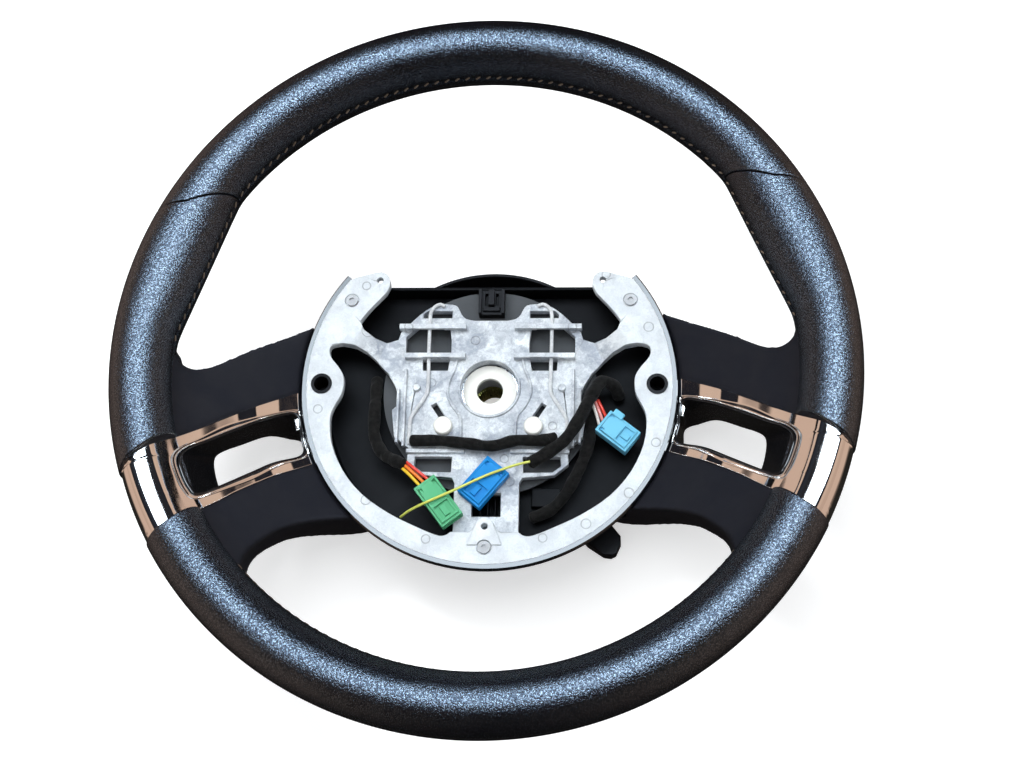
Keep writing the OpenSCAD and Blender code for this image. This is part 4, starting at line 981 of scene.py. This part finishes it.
def loom(name, node, route, radius):
    """A taped loom: a tube whose radius swells and shrinks a little along its length."""
    path = bend(route)
    s = np.linspace(0, 1, len(path))
    swollen = radius * (1 + 0.05 * np.sin(23 * s) + 0.04 * np.sin(51 * s + 1))
    tube(name, path, swollen, TAPE, 20, node)


def leads(node, route, fan, wires):
    """Three single wires side by side. The middle one stands for the leads' solid."""
    for i, (label, finish) in zip((-1, 0, 1), wires):
        path = bend(np.array(route) + i * np.array(fan))
        tube("lead_" + label, path, LEAD_RADIUS, finish, 12, None if i else node)


loom("taped_trunk", "loom_trunk", TRUNK, 3.3)
loom("taped_cross", "loom_cross", CROSS, 3.0)
loom("taped_lower", "loom_lower", LOWER, 3.1)
loom("taped_left", "loom_left", LEFT, 3.2)
leads("leads_green", GREEN_LEADS, GREEN_FAN,
      (("yellow", WIRE_YELLOW), ("orange", WIRE_ORANGE), ("red", WIRE_RED)))
leads("leads_cyan", CYAN_LEADS, CYAN_FAN,
      (("white", WIRE_WHITE), ("pink", WIRE_PINK), ("dark_red", WIRE_RED)))
signal_path = bend(SIGNAL, 12)
signal = tube("signal_lead_lime", signal_path, SIGNAL_RADIUS, WIRE_LIME, 12, "signal_wire")


# Floor, light and camera

FLOOR_GLOW = 0.5
SKY_LIGHT = 0.62
# The bright panel overhead, by the x and y of its direction
PANEL_AT = (0.08, 0.19)
PANEL_HALF = (0.55, 0.24)
PANEL_LIGHT = (17.0, 19.6, 22.0)
# What the plating mirrors on either side: a warm ground, and a wall by height up to its dark upper half
GROUND = (0.64, 0.45, 0.35)
WALL = [(0.0, (0.56, 0.39, 0.30)), (0.12, (0.62, 0.44, 0.34)), (0.375, (0.68, 0.49, 0.38)),
        (0.395, (0.012, 0.012, 0.016)), (0.62, (0.02, 0.022, 0.03)), (1.0, (0.06, 0.075, 0.10))]
# How far a direction leans to the side where the dark front gives way to wall and ground
SIDEWAYS = (0.40, 0.62)


def add_floor(sides=96, height=-0.3):
    """A wide pale disc just under the wheel, which keeps the wheel's shadow. Mirrors see it glow: dark below
    the wheel, a painted shadow of it, and warm brown towards the sides, a painted reflection of a warm room."""
    a = np.arange(sides) * 2 * math.pi / sides
    r = np.array([0.01, 400.0, 1200.0, 6000.0])[:, None]
    points = np.stack([r * np.cos(a), r * np.sin(a), np.full((len(r), sides), height)], -1)
    mesh = bpy.data.meshes.new("floor")
    mesh.from_pydata((points.reshape(-1, 3) * MM).tolist(), [], ring_quads(len(r), sides).tolist())
    f = Finish("pale floor", roughness=0.9, specular_ior_level=0.0)
    grains = f.noise(f.coordinates(), 6.0, 2.0)
    f.feed("Base Color", f.blend(grains, (0.80, 0.80, 0.80), (0.84, 0.84, 0.84)))
    rays = f.node("ShaderNodeLightPath").outputs
    glow = f.node("ShaderNodeEmission", Color=(1, 1, 1), Strength=f.times(rays["Is Camera Ray"], FLOOR_GLOW))
    seen = f.node("ShaderNodeAddShader", i0=f.shader.outputs[0], i1=glow.outputs[0]).outputs[0]
    incoming = f.split(f.node("ShaderNodeNewGeometry").outputs["Incoming"])
    # Mirrors see the floor glow: dark in steep directions, a painted shadow of the wheel, and warm brown low
    # to the sides, a painted reflection
    low = f.spread(incoming[2], 0.45, 0.65, 1.0, 0.0)
    warm = f.times(f.spread(f.math("ABSOLUTE", incoming[0]), *SIDEWAYS), low)
    ground = f.node("ShaderNodeEmission", Color=f.blend(warm, (0.02, 0.018, 0.016), GROUND), Strength=1.0)
    f.plug(f.choose(rays["Is Glossy Ray"], seen, ground.outputs[0]), f.out.inputs[0])
    mesh.materials.append(f.material)
    place("floor", mesh)


class Room(Finish):
    """The world's own tree, wired like a material."""

    def __init__(self, name):
        self.world = bpy.data.worlds.new(name)
        self.world.use_nodes = True
        self.tree = self.world.node_tree
        self.tree.nodes.clear()
        self.out = self.node("ShaderNodeOutputWorld")

    def shade(self, colour, strength):
        return self.node("ShaderNodeBackground", Color=colour, Strength=strength).outputs[0]

    def ramp(self, value, stops):
        """The colours of the stops, each at its position, blended between them by value."""
        n = self.node("ShaderNodeValToRGB", Fac=value)
        elements = n.color_ramp.elements
        elements[0].position, elements[1].position = stops[0][0], stops[-1][0]
        for position, _ in stops[1:-1]:
            elements.new(position)
        for element, (position, colour) in zip(elements, stops):
            element.position = position
            element.color = (*colour, 1)
        return n.outputs[0]


def add_sky():
    """The room: white to the camera, plain and pale as light. In reflections it has a warm wall low down,
    a dark band above it, and overhead one wide bright panel, an oval in the direction's x and y."""
    room = Room("room")
    bpy.context.scene.world = room.world
    x, y, z = room.split(room.coordinates("Generated"))
    # The wall's top edge leans, lower to the right and towards +Y
    lean = room.plus(room.times(x, -0.09), room.times(y, 0.4))
    wall = room.ramp(room.plus(z, room.minus(lean, 0.2)), WALL)
    u, v = (room.math("DIVIDE", room.minus(value, middle), half)
            for value, middle, half in zip((x, y), PANEL_AT, PANEL_HALF))
    oval = room.spread(room.distance(u, v), 0.80, 1.10, 1.0, 0.0)
    panel = room.times(oval, room.math("GREATER_THAN", z, 0.0))
    walls = room.blend(room.spread(room.math("ABSOLUTE", x), *SIDEWAYS), (0.02, 0.02, 0.024), wall)
    rays = room.node("ShaderNodeLightPath").outputs
    around = room.choose(rays["Is Glossy Ray"], room.shade((0.97, 0.985, 1.0), SKY_LIGHT),
                         room.shade(room.blend(panel, walls, PANEL_LIGHT), 1.0))
    seen = room.choose(rays["Is Camera Ray"], around, room.shade((1, 1, 1), 1.0))
    room.plug(seen, room.out.inputs[0])


# The lamps look at this point above the floor
LAMP_AIM = Vector((0, 0, 0.08))


def add_lamp(name, at, size, power, colour):
    """A soft square lamp, which mirrors don't show."""
    lamp = bpy.data.lights.new(name, "AREA")
    lamp.shape = "SQUARE"
    lamp.size = size
    lamp.energy = power
    lamp.color = colour
    obj = place(name, lamp)
    obj.location = at
    obj.rotation_euler = (LAMP_AIM - Vector(at)).to_track_quat("-Z", "Y").to_euler()
    obj.visible_glossy = False


add_floor()
add_sky()
add_lamp("main lamp", (-0.75, 0.85, 1.5), 0.45, 15.0, (0.95, 0.98, 1.0))
add_lamp("side lamp", (1.2, 0.45, 1.2), 0.9, 3.0, (0.95, 0.98, 1.0))
add_lamp("top lamp", (-0.1, 0.35, 1.7), 1.1, 10.0, (0.96, 0.98, 1.0))

# The camera as fitted to the photo: the picture's width and the focal length in pixels, the right, up and
# back directions, and the place in metres
PICTURE_WIDTH, FOCAL_PIXELS = 1020, 1636.6
SENSOR_WIDTH = 36.0
CAMERA_AXES = ((0.997865, 0.021504, -0.061674), (-0.000509, 0.946781, 0.321877),
               (0.065314, -0.321158, 0.944771))
CAMERA_AT = (0.067879, -0.277319, 0.866471)

camera = bpy.data.cameras.new("camera")
camera.sensor_fit = "HORIZONTAL"
camera.sensor_width = SENSOR_WIDTH
camera.lens = FOCAL_PIXELS / PICTURE_WIDTH * SENSOR_WIDTH
camera.clip_start, camera.clip_end = 0.01, 50
camera_object = place("camera", camera)
camera_object.matrix_world = Matrix.Translation(CAMERA_AT) @ Matrix(CAMERA_AXES).transposed().to_4x4()
bpy.context.scene.camera = camera_object
bpy.context.scene.view_settings.view_transform = "Standard"
